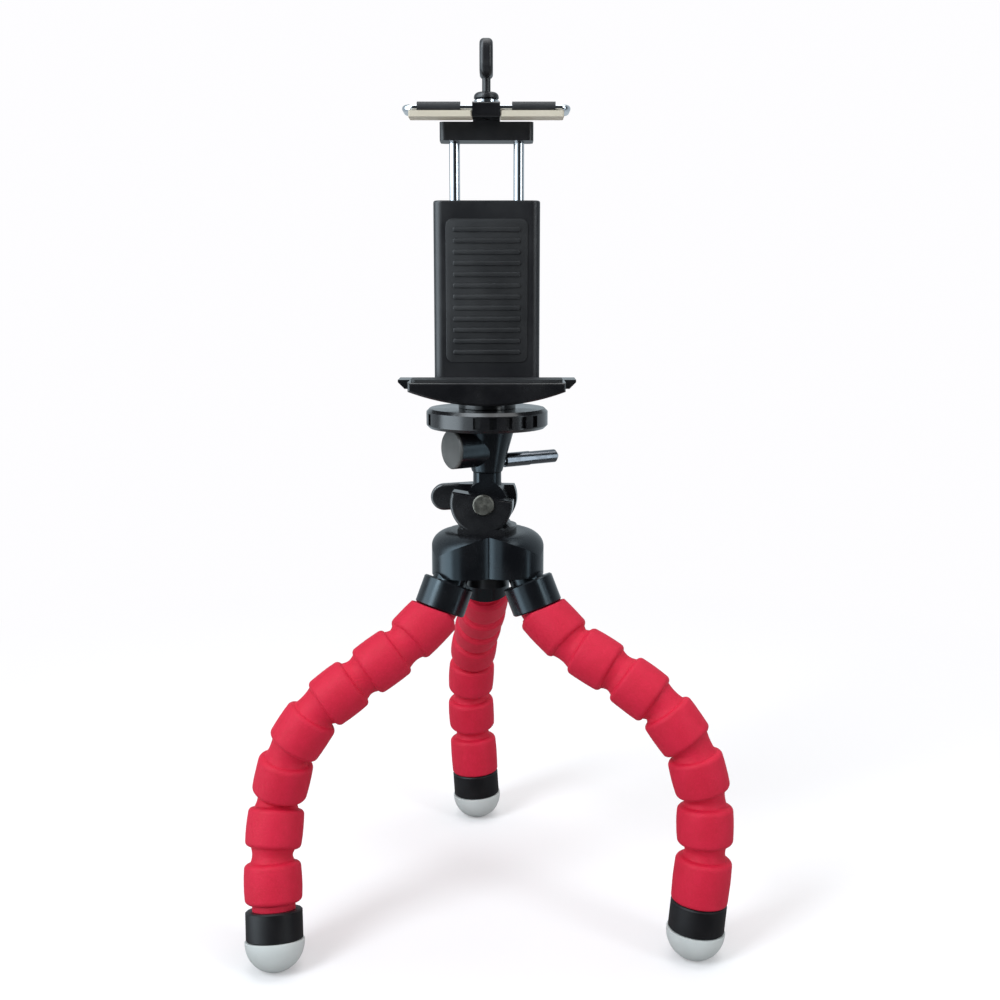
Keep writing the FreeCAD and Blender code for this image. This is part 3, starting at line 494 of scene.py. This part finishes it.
class Finish(Enum):
    """The finishes of the tripod's pieces, each with the record's slot that it goes in."""

    FOAM = ("foam_red", FOAM_RED)
    GLOSS = ("black_gloss", BLACK_GLOSS)
    SHELL = ("black_gloss", SHELL_BLACK)
    RING = ("black_gloss", RING_BLACK)
    SATIN = ("black_satin", BLACK_SATIN)
    SOLE = ("pale_rubber", PALE_RUBBER)
    SLEEVE = ("black_rubber", BLACK_RUBBER)
    PAD = ("beige_rubber", BEIGE_RUBBER)
    DISC = ("grey_cap", GREY_CAP)
    CHROME = ("chrome", Metal("chrome", srgb(214, 217, 222), 0.08))
    STEEL = ("steel", Metal("steel", srgb(170, 171, 174), 0.26, Lay.TURNED))
    PIN = ("steel", STEEL_PIN)
    ROD = ("chrome", DARK_CHROME)
    CORE = ("core_metal", Metal("core_metal", srgb(200, 202, 206), 0.35))
    ZINC = ("zinc", Metal("zinc", srgb(160, 162, 166), 0.42))
    BRASS = ("brass", Metal("brass", srgb(206, 168, 92), 0.30, Lay.TURNED))

    @property
    def slot(self) -> str:
        """The record's slot."""
        return self.value[0]


class Workshop:
    """Materials made once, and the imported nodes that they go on."""

    def __init__(self, frame: dict) -> None:
        """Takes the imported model.
        """
        self.nodes = frame["nodes"]
        self.joints = {joint["name"]: joint for joint in frame["joints"]}
        self.mounts = {mount["name"]: mount for mount in frame["record"]["mounts"]}
        self.materials: dict[Finish, bpy.types.Material] = {}

    def material(self, finish: Finish) -> bpy.types.Material:
        """Gives a finish's one material.

        Args:
            finish: The finish.

        Returns:
            The material, made when it is first asked for.
        """
        if finish not in self.materials:
            self.materials[finish] = finish.value[1].material()
        return self.materials[finish]

    def dress(self, finish: Finish, *names: str) -> None:
        """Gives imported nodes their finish.

        Args:
            finish: The finish.
            names: The nodes.
        """
        for name in names:
            piece = self.nodes[name]
            if not piece.material_slots:
                piece.data.materials.append(None)
            for slot in piece.material_slots:
                slot.material = self.material(finish)
            LOG.info("%s: %s", name, finish.slot)

    def finish(self, piece: bpy.types.Object, finish: Finish) -> bpy.types.Object:
        """Gives a new piece its finish, and logs the record's slot.

        Args:
            piece: The piece.
            finish: The finish.

        Returns:
            The piece.
        """
        piece.data.materials.clear()
        piece.data.materials.append(self.material(finish))
        LOG.info("%s: %s", piece.name, finish.slot)
        return piece


# Modelling


def pick_only(piece: bpy.types.Object) -> None:
    """Makes one object the only selected and the active one.

    Args:
        piece: The object.
    """
    bpy.ops.object.select_all(action="DESELECT")
    piece.select_set(True)
    bpy.context.view_layer.objects.active = piece


def settle(piece: bpy.types.Object, place: Matrix) -> None:
    """Moves a piece and applies the move, so that its object stays at the origin.

    Args:
        piece: The piece.
        place: Where it goes.
    """
    pick_only(piece)
    piece.matrix_world = place
    bpy.ops.object.transform_apply(location=True, rotation=True, scale=True)


def face_outwards(merge: float = 0.0) -> None:
    """Turns the active piece's faces outwards and shades it smooth, and leaves edit mode.

    Args:
        merge: If it isn't 0, points nearer than this become one and holes are filled first.
    """
    bpy.ops.object.mode_set(mode="EDIT")
    bpy.ops.mesh.select_all(action="SELECT")
    if merge:
        bpy.ops.mesh.remove_doubles(threshold=merge)
        bpy.ops.mesh.fill_holes(sides=0)
        bpy.ops.mesh.select_all(action="SELECT")
    bpy.ops.mesh.normals_make_consistent(inside=False)
    bpy.ops.object.mode_set(mode="OBJECT")
    bpy.ops.object.shade_smooth_by_angle(angle=SMOOTH)


def turned(name: str, rings: Sequence[Ring], sides: int) -> bpy.types.Object:
    """A closed turned piece along +Z, extruded ring by ring from a disc.

    Args:
        name: The piece's name.
        rings: Height and radius of each ring, from one end to the other.
        sides: Points round each ring.

    Returns:
        The piece at the origin.
    """
    bpy.ops.object.select_all(action="DESELECT")
    height, radius = rings[0]
    bpy.ops.mesh.primitive_circle_add(
        vertices=sides, radius=radius, fill_type="NGON", location=(0, 0, height)
    )
    piece = bpy.context.object
    piece.name = piece.data.name = name
    bpy.ops.object.mode_set(mode="EDIT")
    for next_height, next_radius in rings[1:]:
        rise = (0, 0, next_height - height)
        bpy.ops.mesh.extrude_region_move(TRANSFORM_OT_translate={"value": rise})
        grow = next_radius / radius
        bpy.ops.transform.resize(value=(grow, grow, 1), center_override=(0, 0, next_height))
        height, radius = next_height, next_radius
    face_outwards()
    settle(piece, piece.matrix_world.copy())
    return piece


def rounding(height: float, radius: float, size: float, start: float, end: float) -> list[Ring]:
    """Rings of a rounded shoulder.

    Args:
        height: Height of the rounding's centre.
        radius: Radius at the rounding's centre.
        size: The rounding's own radius.
        start: First angle in degrees, 0 outwards and 90 upwards.
        end: Last angle.

    Returns:
        Height and radius of each ring.
    """
    turn = (end - start) / ROUND_SPANS
    angles = [math.radians(start + turn * i) for i in range(ROUND_SPANS + 1)]
    return [(height + size * math.sin(a), radius + size * math.cos(a)) for a in angles]


def tube(
    name: str, points: Sequence[Vector], radius: float, sides: int, waist: float = 1.0
) -> bpy.types.Object:
    """A smooth closed tube along points.

    Args:
        name: The piece's name.
        points: Control points of its middle line.
        radius: Its radius.
        sides: Points round it, a multiple of four.
        waist: Share of the radius between the ends.

    Returns:
        The mesh piece at the origin.
    """
    curve = bpy.data.curves.new(name, "CURVE")
    curve.dimensions = "3D"
    curve.bevel_depth = radius
    curve.bevel_resolution = sides // 4 - 1
    curve.use_fill_caps = True
    curve.resolution_u = 6
    spline = curve.splines.new("NURBS")
    spline.points.add(len(points) - 1)
    for target, point in zip(spline.points, points):
        target.co = (*point, 1.0)
        target.radius = waist
    spline.points[0].radius = spline.points[-1].radius = 1.0
    spline.order_u = 3
    spline.use_endpoint_u = True
    piece = bpy.data.objects.new(name, curve)
    bpy.context.scene.collection.objects.link(piece)
    pick_only(piece)
    bpy.ops.object.convert(target="MESH")
    face_outwards(MERGE)
    return bpy.context.object


def rounded_bar(name: str, size: Size, corner: float, edge: float) -> bpy.types.Object:
    """A flat bar that faces -Y, with round corners and softened front edges.

    Args:
        name: The piece's name.
        size: Its width, thickness and height.
        corner: Radius of its four corners.
        edge: Radius of its front edges.

    Returns:
        The piece about the origin.
    """
    bpy.ops.object.select_all(action="DESELECT")
    bpy.ops.mesh.primitive_cube_add(size=1, location=(0, 0, 0))
    piece = bpy.context.object
    piece.name = name
    settle(piece, Matrix.Diagonal((*size, 1)))
    for radius, spans, corners in ((corner, CORNER_SPANS, True), (edge, EDGE_SPANS, False)):
        bpy.ops.object.mode_set(mode="EDIT")
        bpy.ops.mesh.select_mode(type="EDGE")
        bpy.ops.mesh.select_all(action="DESELECT")
        bpy.ops.object.mode_set(mode="OBJECT")
        mesh = piece.data
        for line in mesh.edges:
            start, end = (mesh.vertices[i].co for i in line.vertices)
            across = abs(end.y - start.y) > 0.5 * size[1]
            front = max(start.y, end.y) < -0.4 * size[1]
            line.select = across if corners else front
        bpy.ops.object.mode_set(mode="EDIT")
        bpy.ops.mesh.bevel(offset=radius, segments=spans, affect="EDGES", clamp_overlap=True)
        bpy.ops.object.mode_set(mode="OBJECT")
    bpy.ops.object.shade_smooth_by_angle(angle=BAR_SMOOTH)
    return piece


def aimed(at: Vector, along: Vector) -> Matrix:
    """Where something drawn along +Z from the origin goes."""
    return Matrix.Translation(at) @ along.to_track_quat("Z", "Y").to_matrix().to_4x4()


def roughen(piece: bpy.types.Object, size: float, depth: float, seed: float) -> None:
    """Makes a moulded surface slightly uneven.

    Args:
        piece: The piece, already in place.
        size: Width of one swell.
        depth: How far it stands out.
        seed: Where in the noise it starts.
    """
    shift = Vector((seed, seed * 0.37, seed * 0.71))
    for vertex in piece.data.vertices:
        vertex.co += vertex.normal * depth * noise.noise(vertex.co / size + shift)


# Legs


@dataclass
class BendableLeg:
    """One leg: seven foam barrels on a bendable core, with a ring and a round sole."""

    name: str
    necks: list[Vector]
    sole: Vector
    number: int
    barrels: int = 7
    sides: int = 72
    sole_up: float = 7.95 * MM
    barrel_radius_top: float = 7.4 * MM
    barrel_radius_foot: float = 8.05 * MM
    barrel_round: float = 1.5 * MM
    last_round: float = 0.9 * MM
    crown: float = 0.12 * MM
    crown_half: float = 2.0 * MM
    crown_shoulder: float = 0.8
    dent: float = 6.0 * MM
    dent_depth: float = 0.09 * MM
    dent_seed: float = 11.3
    groove: float = 3.9 * MM
    root_depth: float = 0.1 * MM
    neck_radius: float = 6.05 * MM
    neck_inset: float = 0.03 * MM
    neck_waist: float = 0.95
    neck_flare: float = 1.055
    neck_stub: float = 0.3 * MM
    neck_lap: float = 0.1 * MM
    neck_straight: float = 0.4
    foot_gap: float = 0.1 * MM
    left_foot_gap: float = 1.8 * MM
    collar_gap: float = 0.3 * MM
    collar_tilt: float = 23.8
    trim_round: float = 0.5 * MM
    hip_soft: float = 6.0 * MM
    hip_neck_radius: float = 5.7 * MM
    hip_neck_reach: float = 2.2 * MM
    core_radius: float = 2.0 * MM
    core_sides: int = 24
    core_free: float = 5.0 * MM
    core_in_hub: float = 14.0 * MM
    core_in_foot: float = 6.0 * MM
    foam: list[bpy.types.Object] = field(default_factory=list)

    @classmethod
    def from_frame(cls, shop: Workshop, name: str, number: int) -> BendableLeg:
        """Reads the leg's bends from the joints and the foot's mount.

        Args:
            shop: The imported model.
            name: The leg's name.
            number: The leg's number, which seeds its unevenness.

        Returns:
            The leg.
        """
        joints = [j for j in shop.joints.values() if j["child"].startswith(f"{name}_link_")]
        joints.sort(key=lambda joint: joint["child"])
        sole = Vector(shop.mounts[f"{name}_foot"]["pos_m"]) + Vector((0, 0, cls.sole_up))
        leg = cls(name, [Vector(j["pos_m"]) for j in joints], sole, number)
        if name == "left":
            leg.foot_gap = cls.left_foot_gap
        return leg

    def body(self, barrel: int) -> str:
        """The body of a barrel, where barrel 0 is the hub."""
        return f"{self.name}_link_{barrel}" if barrel else "hub"

    def along(self, barrel: int) -> Vector:
        """Direction of a barrel, from its neck down the leg."""
        ends = self.necks + [self.sole]
        return (ends[barrel] - ends[barrel - 1]).normalized()

    def above(self, barrel: int) -> Vector:
        """Direction of what a barrel hangs on: the barrel above, or the collar."""
        return self.along(barrel - 1) if barrel > 1 else self.collar_along()

    def collar_along(self) -> Vector:
        """Direction of the leg's collar, out and down.

        Returns:
            The unit vector.
        """
        flat = self.along(1)
        out = Vector((flat.x, flat.y, 0)).normalized()
        tilt = math.radians(self.collar_tilt)
        return out * math.sin(tilt) - Vector((0, 0, 1)) * math.cos(tilt)

    def radius(self, barrel: int) -> float:
        """Radius of a barrel, which grows down the leg."""
        share = (barrel - 1) / (self.barrels - 1)
        return self.barrel_radius_top + share * (self.barrel_radius_foot - self.barrel_radius_top)

    def link(self) -> float:
        """Distance from neck to neck."""
        return (self.necks[1] - self.necks[0]).length

    def barrel_rings(self, barrel: int) -> list[Ring]:
        """Profile of a barrel with its rounded ends and the roots of its necks.

        Args:
            barrel: From 1 to 7.

        Returns:
            Its rings from the neck down.
        """
        radius, size = self.radius(barrel), self.barrel_round
        start = self.collar_gap if barrel == 1 else self.groove / 2
        last = barrel == self.barrels
        end = self.link() - (self.foot_gap if last else self.groove / 2)
        inner, stub, neck = radius - size, self.neck_stub, self.neck_radius
        disc = 0.5 * neck
        share = (neck + self.root_depth - inner) / size
        root = math.degrees(math.acos(min(1.0, max(0.0, share))))
        middle = (start + end) / 2
        shoulder = radius + self.crown * self.crown_shoulder
        rings = [(start - stub, disc), (start - stub, neck)]
        rings += rounding(start + size, inner, size, -root, 0)
        rings += [(middle - self.crown_half, shoulder), (middle, radius + self.crown)]
        rings += [(middle + self.crown_half, shoulder)]
        if last and self.foot_gap < stub:
            rings += rounding(
                end - self.last_round, radius - self.last_round, self.last_round, 0, 90
            )
            return rings + [(end, disc)]
        rings += rounding(end - size, inner, size, 0, root)
        stub_end = self.link() if last else end + stub
        return rings + [(end + 2 * self.root_depth, neck), (stub_end, neck), (stub_end, disc)]

    def make_barrel(self, barrel: int) -> bpy.types.Object:
        """One foam barrel in place.

        Args:
            barrel: From 1 to 7.

        Returns:
            The piece.
        """
        name = f"{self.name}_foam_barrel_{barrel}"
        piece = turned(name, self.barrel_rings(barrel), self.sides)
        settle(piece, aimed(self.necks[barrel - 1], self.along(barrel)))
        if barrel == 1:
            self.trim_at_collar(piece)
        roughen(piece, self.dent, self.dent_depth, self.number * self.dent_seed + barrel)
        if barrel == 1:
            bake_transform(piece)
        else:
            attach(piece, self.body(barrel))
        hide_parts(f"{self.name}_foam_{barrel}")
        return piece

    def trim_at_collar(self, piece: bpy.types.Object) -> None:
        """Cuts the first barrel where its collar presses on it, and rounds the cut's edge.

        Args:
            piece: The barrel in place.
        """
        mouth = self.collar_along()
        cut = self.necks[0] + mouth * self.collar_gap / 2
        pick_only(piece)
        bpy.ops.object.mode_set(mode="EDIT")
        bpy.ops.mesh.select_all(action="SELECT")
        bpy.ops.mesh.bisect(plane_co=cut, plane_no=mouth, use_fill=True, clear_inner=True)
        bpy.ops.mesh.bevel(
            offset=self.trim_round, segments=EDGE_SPANS, affect="EDGES", clamp_overlap=True
        )
        face_outwards()

    def make_neck(self, barrel: int) -> bpy.types.Object:
        """The thin foam between a barrel and the one above it.

        Args:
            barrel: The barrel below the neck. The first one's neck goes up into the collar.

        Returns:
            The piece.
        """
        at, before, after = self.necks[barrel - 1], self.above(barrel), self.along(barrel)
        half = self.groove / 2 + self.neck_lap
        reach, radius, flare = half, self.neck_radius - self.neck_inset, self.neck_flare
        if barrel == 1:
            reach, radius, flare = self.hip_neck_reach, self.hip_neck_radius, 1.0
        start, end = at - before * reach, at + after * half
        knee = self.neck_straight
        points = [start, at - before * knee * reach, at + after * knee * half, end]
        name = f"{self.name}_foam_neck_{barrel}"
        piece = tube(name, points, radius * flare, self.sides, self.neck_waist / flare)
        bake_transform(piece)
        return piece

    def make_core(self, barrel: int) -> bpy.types.Object:
        """The core wire from the middle of one barrel to the middle of the next.

        Args:
            barrel: The barrel that it leads into, from 1 to 7.

        Returns:
            The piece.
        """
        at, before, after = self.necks[barrel - 1], self.above(barrel), self.along(barrel)
        reach = self.link() / 2
        top = self.core_in_hub if barrel == 1 else reach
        foot = self.link() + self.core_in_foot if barrel == self.barrels else reach
        start, end = at - before * self.core_free, at + after * self.core_free
        points = [at - before * top, start, at, end, at + after * foot]
        name = f"{self.name}_core_span_{barrel}"
        piece = tube(name, points, self.core_radius, self.core_sides)
        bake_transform(piece)
        return piece

    def build(self, shop: Workshop) -> None:
        """Makes and finishes every piece of the leg.

        Args:
            shop: Where the finishes come from.
        """
        for barrel in range(1, self.barrels + 1):
            self.foam.append(self.make_barrel(barrel))
            self.foam.append(self.make_neck(barrel))
            core = shop.finish(self.make_core(barrel), Finish.CORE)
            if self.number == 0 and barrel == 1:
                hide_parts("core_wires")
        for piece in self.foam:
            shop.finish(piece, Finish.FOAM)
        shop.dress(Finish.RING, f"{self.name}_foot_ring")
        shop.dress(Finish.SOLE, f"{self.name}_foot_cap")


# Hub, head and clip


@dataclass
class Hub:
    """The lobed hub with its collars, base and anchor."""

    shell: Sequence[str] = ("hub_shell", "leg_collars")

    def build(self, shop: Workshop) -> None:
        """Finishes the hub's pieces.

        Args:
            shop: Where the finishes come from.
        """
        shop.dress(Finish.SHELL, *self.shell)
        shop.dress(Finish.SATIN, "hub_base")
        shop.dress(Finish.ZINC, "core_anchor")
        shop.dress(Finish.STEEL, "hub_screw")


@dataclass
class Head:
    """Tilt hinge, pan housing and thumb wheel."""

    gloss: Sequence[str] = ("clevis", "lock_lever", "thumb_wheel")
    shell: Sequence[str] = ("neck", "pan_housing")

    def build(self, shop: Workshop) -> None:
        """Finishes the head's pieces.

        Args:
            shop: Where the finishes come from.
        """
        shop.dress(Finish.GLOSS, *self.gloss)
        shop.dress(Finish.SHELL, *self.shell)
        shop.dress(Finish.PIN, "hinge_pin")
        shop.dress(Finish.STEEL, "lever_washer", "camera_stud")
        shop.dress(Finish.CHROME, "hinge_nut")
        shop.dress(Finish.ROD, "lock_rod")
        shop.dress(Finish.DISC, "clamp_cap")


@dataclass
class Clip:
    """Spring clip with its shelf, case, carriage, wire wings and key."""

    satin: Sequence[str] = ("case_front", "case_cover", "jaw_carriage", "clamp_key")
    coil: float = 2.1 * MM
    wire: float = 0.3 * MM
    wire_sides: int = 10
    turns: int = 12
    turn_steps: int = 24
    squeezed: float = 0.386
    grip: Size = (23.0 * MM, 0.3 * MM, 40.0 * MM)
    grip_corner: float = 2.0 * MM
    grip_edge: float = 0.12 * MM
    rib: Size = (19.0 * MM, 0.5 * MM, 1.3 * MM)
    rib_corner: float = 0.55 * MM
    rib_edge: float = 0.22 * MM
    rib_sunk: float = 0.1 * MM
    ribs: int = 12
    rib_pitch: float = 3.1 * MM

    def make_spring(self, side: int) -> bpy.types.Object:
        """One coil spring, as tall as the imported springs.

        Args:
            side: -1 for the left rod and 1 for the right one.

        Returns:
            The piece.
        """
        low, high = (Vector(corner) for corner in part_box("jaw_springs"))
        bottom, top = low.z + self.wire, high.z - self.wire
        bpy.ops.object.select_all(action="DESELECT")
        bpy.ops.mesh.primitive_circle_add(
            vertices=self.wire_sides,
            radius=self.wire,
            location=(self.coil, 0, 0),
            rotation=(math.radians(90), 0, 0),
        )
        piece = bpy.context.object
        piece.name = "jaw_spring_left" if side < 0 else "jaw_spring_right"
        settle(piece, piece.matrix_world.copy())
        screw = piece.modifiers.new("coils", "SCREW")
        screw.steps = screw.render_steps = self.turn_steps
        screw.iterations = self.turns
        screw.screw_offset = (top - bottom) / self.turns
        bpy.ops.object.modifier_apply(modifier=screw.name)
        face_outwards(MERGE)
        reach = (high.x - low.x) / 2 - self.coil - self.wire
        middle = (low + high) / 2
        settle(piece, Matrix.Translation((middle.x + side * reach, middle.y, bottom)))
        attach(piece, "clip")
        if side < 0:
            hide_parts("jaw_springs")
        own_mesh(piece)
        return piece

    def make_grip(self) -> bpy.types.Object:
        """The ribbed rubber sheet on the case's front.

        Returns:
            The piece.
        """
        low, high = (Vector(corner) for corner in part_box("case_front"))
        middle = Vector(((low.x + high.x) / 2, low.y, (low.z + high.z) / 2))
        sheet = rounded_bar("case_grip", self.grip, self.grip_corner, self.grip_edge)
        settle(sheet, Matrix.Translation(middle - Vector((0, self.grip[1] / 2, 0))))
        rib = rounded_bar("case_grip_rib", self.rib, self.rib_corner, self.rib_edge)
        out = self.grip[1] + self.rib[1] / 2 - self.rib_sunk
        down = (self.ribs - 1) / 2 * self.rib_pitch
        settle(rib, Matrix.Translation(middle - Vector((0, out, down))))
        rows = rib.modifiers.new("rows", "ARRAY")
        rows.count = self.ribs
        rows.use_relative_offset = False
        rows.use_constant_offset = True
        rows.constant_offset_displace = (0, 0, self.rib_pitch)
        bpy.ops.object.modifier_apply(modifier=rows.name)
        sheet.select_set(True)
        bpy.context.view_layer.objects.active = sheet
        bpy.ops.object.join()
        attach(sheet, "clip")
        return sheet

    def build(self, shop: Workshop) -> None:
        """Makes the springs and the grip, and finishes the clip's pieces.

        Args:
            shop: Where the finishes come from.
        """
        shop.dress(Finish.GLOSS, "clip_base", "jaw_block")
        shop.dress(Finish.SATIN, *self.satin)
        shop.dress(Finish.SLEEVE, "shelf_pad", "wing_sleeves")
        shop.dress(Finish.PAD, "jaw_pads")
        shop.dress(Finish.CHROME, "wing_wires", "lock_nut", "guide_rods")
        shop.dress(Finish.STEEL, "cover_screws", "key_screw")
        shop.dress(Finish.BRASS, "insert_nut")
        for side in (-1, 1):
            shop.finish(self.make_spring(side), Finish.STEEL)
        shop.finish(self.make_grip(), Finish.SLEEVE)


# Studio


@dataclass(frozen=True)
class Lamp:
    """A soft rectangular lamp."""

    name: str
    place: Size
    size: Span
    watts: float
    colour: Colour

    def hang(self, target: Vector) -> None:
        """Adds the lamp.

        Args:
            target: The point that it shines at.
        """
        data = bpy.data.lights.new(self.name, "AREA")
        data.shape = "RECTANGLE"
        data.size, data.size_y = self.size
        data.energy = self.watts
        data.color = self.colour
        lamp = bpy.data.objects.new(self.name, data)
        lamp.location = self.place
        aim = target - Vector(self.place)
        lamp.rotation_euler = aim.to_track_quat("-Z", "Y").to_euler()
        bpy.context.scene.collection.objects.link(lamp)


@dataclass
class Studio:
    """Pale floor, white surroundings, soft lamps and the camera."""

    axis: Vector
    back: float = 360.0 * MM
    side: float = 3.73 * MM
    height: float = 190.0 * MM
    pitch: float = 9.79
    lens: float = 44.96
    film: float = 36.0
    nearest: float = 10.0 * MM
    ambient: float = 0.40
    room: float = 0.05
    backdrop: float = 0.6
    backdrop_rise: Span = (-0.25, 0.45)
    gloss_tint: Colour = (0.80, 0.92, 1.0)
    windows: Sequence[tuple[float, float, float]] = (
        (-108.0, 24.0, 4.6),
        (-146.0, 12.0, 1.2),
        (112.0, 3.2, 3.0),
    )
    window_edge: Span = (0.7, 1.3)
    floor_size: float = 12.0
    floor_colours: Sequence[Colour] = (
        (0.8, 0.797, 0.805),
        (0.5, 0.49, 0.49),
        (0.22, 0.22, 0.22),
    )
    floor_glow: float = 0.22
    fade: Span = (0.14, 0.42)
    gloss_fade: Span = (0.10, 0.22)
    lamps: Sequence[Lamp] = (
        Lamp("window_left", (-0.75, -0.75, 0.85), (0.40, 0.90), 9.6, (0.88, 0.95, 1.0)),
        Lamp("window_right", (0.85, -0.70, 0.55), (0.25, 0.80), 3.2, (0.90, 0.97, 1.0)),
        Lamp("ceiling", (0.1, 0.1, 1.25), (1.1, 1.1), 7.0, (1.0, 1.0, 1.0)),
    )
    target: Vector = field(default_factory=lambda: Vector((0, -20, 120)) * MM)

    def camera(self) -> None:
        """Puts the camera where the photograph was taken from."""
        data = bpy.data.cameras.new("camera")
        data.lens = self.lens
        data.sensor_width = self.film
        data.clip_start = self.nearest
        eye = bpy.data.objects.new("camera", data)
        eye.location = (self.axis.x + self.side, self.axis.y - self.back, self.height)
        eye.rotation_euler = (math.radians(90 - self.pitch), 0, 0)
        bpy.context.scene.collection.objects.link(eye)
        bpy.context.scene.camera = eye

    def world(self) -> None:
        """White to the eye, an even light on the tripod, and in its gloss windows in a dim room.

        Each window is the bearing of its middle, half its width in degrees and its strength.
        """
        world = bpy.data.worlds.new("surroundings")
        bpy.context.scene.world = world
        g = Graph(world)
        way = {0: g.coordinates.outputs["Generated"]}
        split = g.node("ShaderNodeSeparateXYZ", None, way)
        right, away = (Signal(g, split.outputs[axis]) for axis in "XY")
        seen = g.between(away, *self.backdrop_rise, self.room, self.backdrop)
        bearing = g.math("ARCTAN2", right, away)
        for middle, half, strength in self.windows:
            off = g.math("ABSOLUTE", bearing - math.radians(middle))
            edge = (math.radians(half * share) for share in self.window_edge)
            seen = g.math("MAXIMUM", seen, g.between(off, *edge, strength, 0.0))
        glossy = g.ray("Glossy")
        even = (1 - glossy) * self.ambient + glossy * seen
        clear = g.math("MAXIMUM", g.ray("Camera"), g.ray("Transmission"))
        tint = g.mix(glossy, PALE, self.gloss_tint)
        sky = g.node("ShaderNodeBackground", None, {0: tint, 1: g.math("MAXIMUM", even, clear)})
        g.node("ShaderNodeOutputWorld", None, {0: sky.outputs[0]})

    def floor(self) -> None:
        """A wide pale floor that keeps the tripod's shadow and turns white away from it."""
        bpy.ops.object.select_all(action="DESELECT")
        bpy.ops.mesh.primitive_plane_add(size=self.floor_size, location=(0, 0, 0))
        plane = bpy.context.object
        plane.name = "studio_floor"
        g = Graph(bpy.data.materials.new("studio_floor"))
        length = g.node("ShaderNodeVectorMath", {"operation": "LENGTH"}, {0: g.place})
        away = Signal(g, length.outputs["Value"])
        matte, bounce, dim = (
            g.node("ShaderNodeBsdfDiffuse", None, {"Color": colour}).outputs[0]
            for colour in self.floor_colours
        )
        glow, white = (
            g.node("ShaderNodeEmission", None, {"Color": PALE, "Strength": strength}).outputs[0]
            for strength in (self.floor_glow, 1.0)
        )
        clear = g.node("ShaderNodeBsdfTransparent").outputs[0]
        lit = g.node("ShaderNodeAddShader", None, {0: matte, 1: glow}).outputs[0]
        shown = g.mix_shaders(g.between(away, *self.fade), lit, white)
        mirrored = g.mix_shaders(g.between(away, *self.gloss_fade), dim, clear)
        other = g.mix_shaders(g.ray("Glossy"), bounce, mirrored)
        mixed = g.mix_shaders(g.ray("Camera"), other, shown)
        g.node("ShaderNodeOutputMaterial", None, {"Surface": mixed})
        plane.data.materials.append(g.owner)

    def build(self) -> None:
        """Sets up the studio."""
        self.camera()
        self.world()
        self.floor()
        for lamp in self.lamps:
            lamp.hang(self.target)
        bpy.context.scene.view_settings.view_transform = "Standard"


def main() -> None:
    """Builds the dressed tripod piece by piece."""
    logging.basicConfig(level=logging.INFO, format="%(name)s %(message)s")
    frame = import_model()
    shop = Workshop(frame)
    Studio(Vector(shop.joints["pan"]["pos_m"])).build()
    for number, name in enumerate(("left", "right", "rear")):
        BendableLeg.from_frame(shop, name, number).build(shop)
    for assembly in (Hub(), Head(), Clip()):
        assembly.build(shop)


if __name__ == "__main__":
    main()
